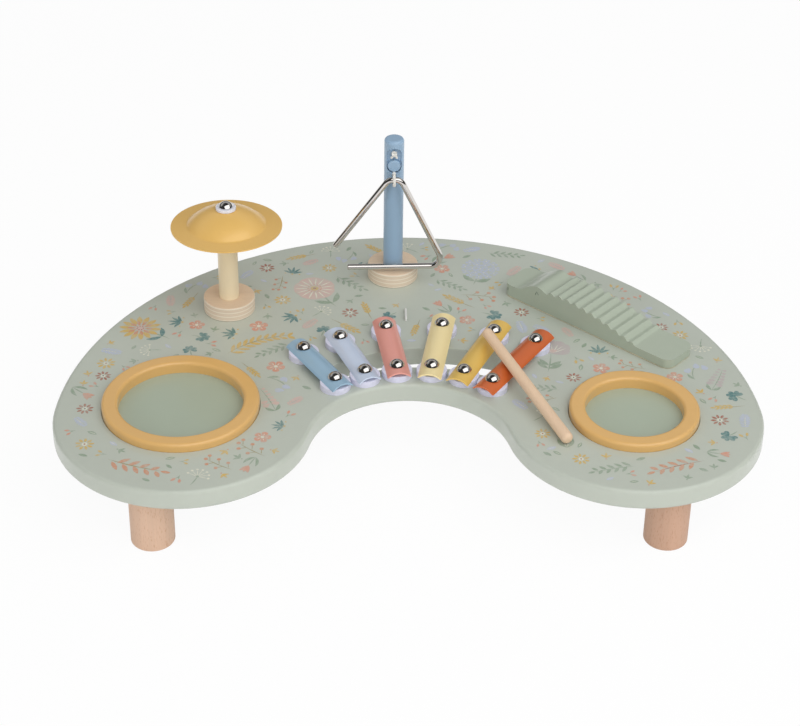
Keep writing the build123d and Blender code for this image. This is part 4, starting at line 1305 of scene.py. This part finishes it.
class MUSIC_OT_cymbal(bpy.types.Operator):
    """Finish the cymbal, its bush, its post and the plywood discs of both posts"""

    bl_idname = "music_table.cymbal"
    bl_label = "Cymbal"

    def execute(self, context):
        colours = context.scene.table_colours
        lacquer = lacquered_metal("cymbal_lacquer", colours.cymbal, gloss=0.38, metallic=0.05, coat=0.35)
        dress(["cymbal"], lacquer)
        dress(["cymbal_bush"], moulded_plastic(colours.bush))
        dress(["cymbal_post"], satin_paint("cream_paint", colours.cymbal_post))
        dress(["cymbal_base", "triangle_base"], birch_plywood(colours.birch))
        return {"FINISHED"}


class MUSIC_OT_triangle(bpy.types.Operator):
    """Finish the triangle, its post and the peg"""

    bl_idname = "music_table.triangle"
    bl_label = "Triangle"

    def execute(self, context):
        dress(["triangle"], polished_chrome("rod_chrome"))
        paint = satin_paint("blue_paint", context.scene.table_colours.triangle_post)
        dress(["triangle_post", "cord_peg"], paint)
        return {"FINISHED"}


class MUSIC_OT_cord(bpy.types.Operator):
    """Make the cord's loop round the triangle and its knot in the post"""

    bl_idname = "music_table.cord"
    bl_label = "Cord"

    def execute(self, context):
        width = context.scene.table_sizes.cord_width
        finish = cotton(context.scene.table_colours.cord)
        low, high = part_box("triangle_cord")
        middle, radius = (low + high) / 2, (high.z - low.z - width) / 2
        rod_y = low.y + radius + width / 2
        round_rod = [(rod_y + behind * radius, above) for behind, above in LOOP_ROUTE]
        route = [(high.y, LOOP_ENDS), *round_rod, (high.y, -LOOP_ENDS)]
        line = [(middle.x, y, middle.z + above * radius) for y, above in route]
        add_piece("cord_loop", twisted_cord(line, width, finish), "cord_loop", ["triangle_cord"])

        low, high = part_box("cord_knot")
        centre, half = (low + high) / 2, (high - low) / 2
        line = [tuple(c + share * h for c, share, h in zip(centre, point, half)) for point in KNOT_ROUTE]
        add_piece("tied_knot", twisted_cord(line, KNOT_PULL * width, finish), "table", ["cord_knot"])
        return {"FINISHED"}


class MUSIC_OT_scraper(bpy.types.Operator):
    """Finish the ribbed scraper and paint the marks of its eye and nostrils"""

    bl_idname = "music_table.scraper"
    bl_label = "Scraper"

    # Its turn on the board, and the size of its plan
    TURN = math.radians(-42.4)
    LENGTH = 162.0 * MM
    WIDTH = 33.0 * MM
    # On its front face, in millimetres right of its left end and above its foot: a place, the angle
    # clockwise from upright, a length and a bend
    MARKS = ((33.9, 16.3, 201, 4.3, 0.0), (33.7, 16.5, 143, 3.9, 0.0), (5.2, 8.4, 184, 3.2, 0.2))

    def execute(self, context):
        colours, sizes = context.scene.table_colours, context.scene.table_sizes
        paint = scraper_paint(colours.scraper)
        softened("scraper", "ribbed_scraper", "table", paint)
        wide = sizes.mark_width / MM
        marks = [mark(x, y, angle, size, wide, "pine", bend=bend) for x, y, angle, size, bend in self.MARKS]
        finish = printed_ink("painted_mark", colours.scraper)
        lines = placed(marks, (0, 0), 0, 1)
        mesh = brushed_mesh(lines, context.scene.print_inks, finish, sizes.print_lift)
        low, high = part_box("scraper")
        middle = (low + high) / 2
        standing = Matrix.Translation((middle.x, middle.y, TOP_Z)) @ Matrix.Rotation(self.TURN, 4, "Z")
        to_corner = Matrix.Translation((-self.LENGTH / 2, -self.WIDTH / 2, 0))
        mesh.transform(standing @ to_corner @ Matrix.Rotation(math.pi / 2, 4, "X"))
        add_piece("scraper_marks", mesh, "table")
        return {"FINISHED"}


class MUSIC_OT_mallet(bpy.types.Operator):
    """Finish the loose mallet"""

    bl_idname = "music_table.mallet"
    bl_label = "Mallet"

    def execute(self, context):
        low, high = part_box("mallet")
        turn = math.atan2(high.x - low.x, high.y - low.y)
        finish = bare_wood(
            "beech_oiled",
            context.scene.table_colours.mallet,
            grain_turn=(math.pi / 2, 0.0, -turn),
            contrast=0.6,
            flecks=0.15,
            centre=(low + high) / 2,
        )
        dress(["mallet"], finish)
        return {"FINISHED"}


# ---- Stage --------------------------------------------------------------------------

# The camera's lens, as its focal length in pixels of an image this wide, and its turn in degrees
IMAGE_WIDTH = 800
FOCAL_PIXELS = 2100.0
SENSOR = 36.0
CAMERA_PLACE = (-0.039836, -1.327695, 0.960362)
CAMERA_PITCH = 34.29
CAMERA_YAW = 1.49
CAMERA_ROLL = 0.87
AMBIENT = 0.44
# What polished pieces see around them: how bright at each height, as the sine of its elevation
SWEEP_BEHIND = (
    (0.01, 0.9), (0.06, 0.5), (0.14, 0.05), (0.4, 0.1), (0.54, 0.5), (0.74, 0.45), (0.88, 0.05), (1.0, 0.03),
)
ROOM_IN_FRONT = ((0.01, 0.8), (0.05, 0.3), (0.12, 0.04), (0.75, 0.04), (1.0, 0.03))
# The floor's paint, its corners, and the share of it that glows white for the rays that show it
FLOOR_PAINT = (0.95, 0.95, 0.95)
FLOOR_CORNERS = 96
FLOOR_GLOW = 0.94
WHITE = (1.0, 1.0, 1.0)
# Soft boxes: name, place, width, height, power in watts, and whether polished pieces show it
SOFT_BOXES = (
    ("front_left", (-1.6, -1.8, 0.8), 1.2, 0.9, 9.0, False),
    ("front_right", (1.7, -1.7, 0.8), 1.1, 0.8, 6.0, False),
    ("above", (0.7, -1.0, 1.7), 3.0, 1.9, 27.0, True),
)
LAMP_AIM = Vector((0.0, 0.0, 0.05))


def seen_rays(tree):
    """1 for the rays that show the backdrop itself: camera, glossy and transmission rays."""
    path = add_node(tree, "ShaderNodeLightPath").outputs
    seen = calculate(tree, "MAXIMUM", path["Is Camera Ray"], path["Is Glossy Ray"])
    return calculate(tree, "MAXIMUM", seen, path["Is Transmission Ray"])


def level_ramp(tree, height, levels):
    """Grey levels that change with a height from 0 to 1."""
    ramp = add_node(tree, "ShaderNodeValToRGB", {"Fac": height})
    stops = ramp.color_ramp.elements
    stops.remove(stops[1])
    for place, level in levels:
        stops.new(place).color = (level, level, level, 1.0)
    stops.remove(stops[0])
    return ramp.outputs[0]


def make_world():
    """Plain ambient light and a white backdrop. Polished pieces mirror a bright sweep behind them
    and a dim room in front."""
    world = bpy.data.worlds.new("studio")
    world.use_nodes = True
    tree = world.node_tree
    tree.nodes.clear()
    direction = add_node(tree, "ShaderNodeTexCoord").outputs["Generated"]
    axes = xyz(tree, direction)
    behind = remap(tree, axes["Y"], -0.1, 0.15)
    front, back = [level_ramp(tree, axes["Z"], levels) for levels in (ROOM_IN_FRONT, SWEEP_BEHIND)]
    mirrored = blend_colours(tree, behind, front, back)
    camera = add_node(tree, "ShaderNodeLightPath").outputs["Is Camera Ray"]
    tone = blend_colours(tree, camera, mirrored, opaque(WHITE))
    backdrop = result_of(tree, "ShaderNodeBackground", {"Color": tone, "Strength": 1.0})
    ambient = result_of(tree, "ShaderNodeBackground", {"Color": opaque(WHITE), "Strength": AMBIENT})
    mix = result_of(tree, "ShaderNodeMixShader", {0: seen_rays(tree), 1: ambient, 2: backdrop})
    add_node(tree, "ShaderNodeOutputWorld", {"Surface": mix})
    bpy.context.scene.world = world


def make_floor(radius):
    """A plain white floor that keeps part of the object's shadow."""
    mesh = bpy.data.meshes.new("floor")
    shape = bmesh.new()
    bmesh.ops.create_circle(shape, cap_ends=True, radius=radius, segments=FLOOR_CORNERS)
    shape.to_mesh(mesh)
    shape.free()
    floor = bpy.data.objects.new("floor", mesh)
    bpy.context.scene.collection.objects.link(floor)
    material = bpy.data.materials.new("studio_floor")
    material.use_nodes = True
    tree = material.node_tree
    tree.nodes.clear()
    matt = result_of(tree, "ShaderNodeBsdfDiffuse", {"Color": opaque(FLOOR_PAINT)})
    glow = result_of(tree, "ShaderNodeEmission", {"Strength": 1.0})
    share = product(tree, seen_rays(tree), FLOOR_GLOW)
    mix = result_of(tree, "ShaderNodeMixShader", {0: share, 1: matt, 2: glow})
    add_node(tree, "ShaderNodeOutputMaterial", {"Surface": mix})
    mesh.materials.append(material)


def make_soft_box(name, place, width, height, power, mirrored):
    """A rectangular lamp that points at the table, and that polished pieces show or don't show."""
    lamp = bpy.data.lights.new(name, "AREA")
    lamp.shape = "RECTANGLE"
    lamp.size = width
    lamp.size_y = height
    lamp.energy = power
    box = bpy.data.objects.new(name, lamp)
    bpy.context.scene.collection.objects.link(box)
    box.location = place
    box.rotation_euler = (LAMP_AIM - Vector(place)).to_track_quat("-Z", "Y").to_euler()
    box.visible_glossy = mirrored


def make_camera():
    """The camera, turned by its yaw, pitch and roll."""
    lens = bpy.data.cameras.new("camera")
    lens.sensor_fit = "HORIZONTAL"
    lens.sensor_width = SENSOR
    lens.lens = FOCAL_PIXELS * SENSOR / IMAGE_WIDTH
    camera = bpy.data.objects.new("camera", lens)
    bpy.context.scene.collection.objects.link(camera)
    yaw = Matrix.Rotation(-math.radians(CAMERA_YAW), 4, "Z")
    pitch = Matrix.Rotation(math.radians(90 - CAMERA_PITCH), 4, "X")
    roll = Matrix.Rotation(math.radians(CAMERA_ROLL), 4, "Z")
    camera.matrix_world = Matrix.Translation(CAMERA_PLACE) @ yaw @ pitch @ roll
    bpy.context.scene.camera = camera


class MUSIC_OT_stage(bpy.types.Operator):
    """Set up the camera, the floor and the soft studio light"""

    bl_idname = "music_table.stage"
    bl_label = "Stage"

    def execute(self, context):
        context.scene.view_settings.view_transform = "Standard"
        make_camera()
        make_world()
        make_floor(context.scene.table_sizes.floor_radius)
        for box in SOFT_BOXES:
            make_soft_box(*box)
        return {"FINISHED"}


class MUSIC_PT_table(bpy.types.Panel):
    """Lists the pieces of the table and what can be changed on them"""

    bl_label = "Musical Activity Table"
    bl_idname = "MUSIC_PT_table"
    bl_space_type = "VIEW_3D"
    bl_region_type = "UI"
    bl_category = "Music Table"

    def draw(self, context):
        for operator in OPERATORS:
            self.layout.operator(operator.bl_idname)
        for group in (context.scene.table_sizes, context.scene.table_colours, context.scene.print_inks):
            box = self.layout.box()
            for name in group.__annotations__:
                box.prop(group, name)


OPERATORS = (
    MUSIC_OT_stage,
    MUSIC_OT_cord,
    MUSIC_OT_board,
    MUSIC_OT_print,
    MUSIC_OT_legs,
    MUSIC_OT_fixings,
    MUSIC_OT_drums,
    MUSIC_OT_bars,
    MUSIC_OT_cymbal,
    MUSIC_OT_triangle,
    MUSIC_OT_scraper,
    MUSIC_OT_mallet,
)
GROUPS = {"table_sizes": TableSizes, "table_colours": TableColours, "print_inks": PrintInks}


def register():
    for kind in (*GROUPS.values(), *OPERATORS, MUSIC_PT_table):
        bpy.utils.register_class(kind)
    for name, group in GROUPS.items():
        setattr(bpy.types.Scene, name, bpy.props.PointerProperty(type=group))


def unregister():
    for name in GROUPS:
        delattr(bpy.types.Scene, name)
    for kind in (MUSIC_PT_table, *reversed(OPERATORS), *GROUPS.values()):
        bpy.utils.unregister_class(kind)


def main():
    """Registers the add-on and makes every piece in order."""
    register()
    for operator in OPERATORS:
        group, name = operator.bl_idname.split(".")
        getattr(getattr(bpy.ops, group), name)()


if __name__ == "__main__":
    main()
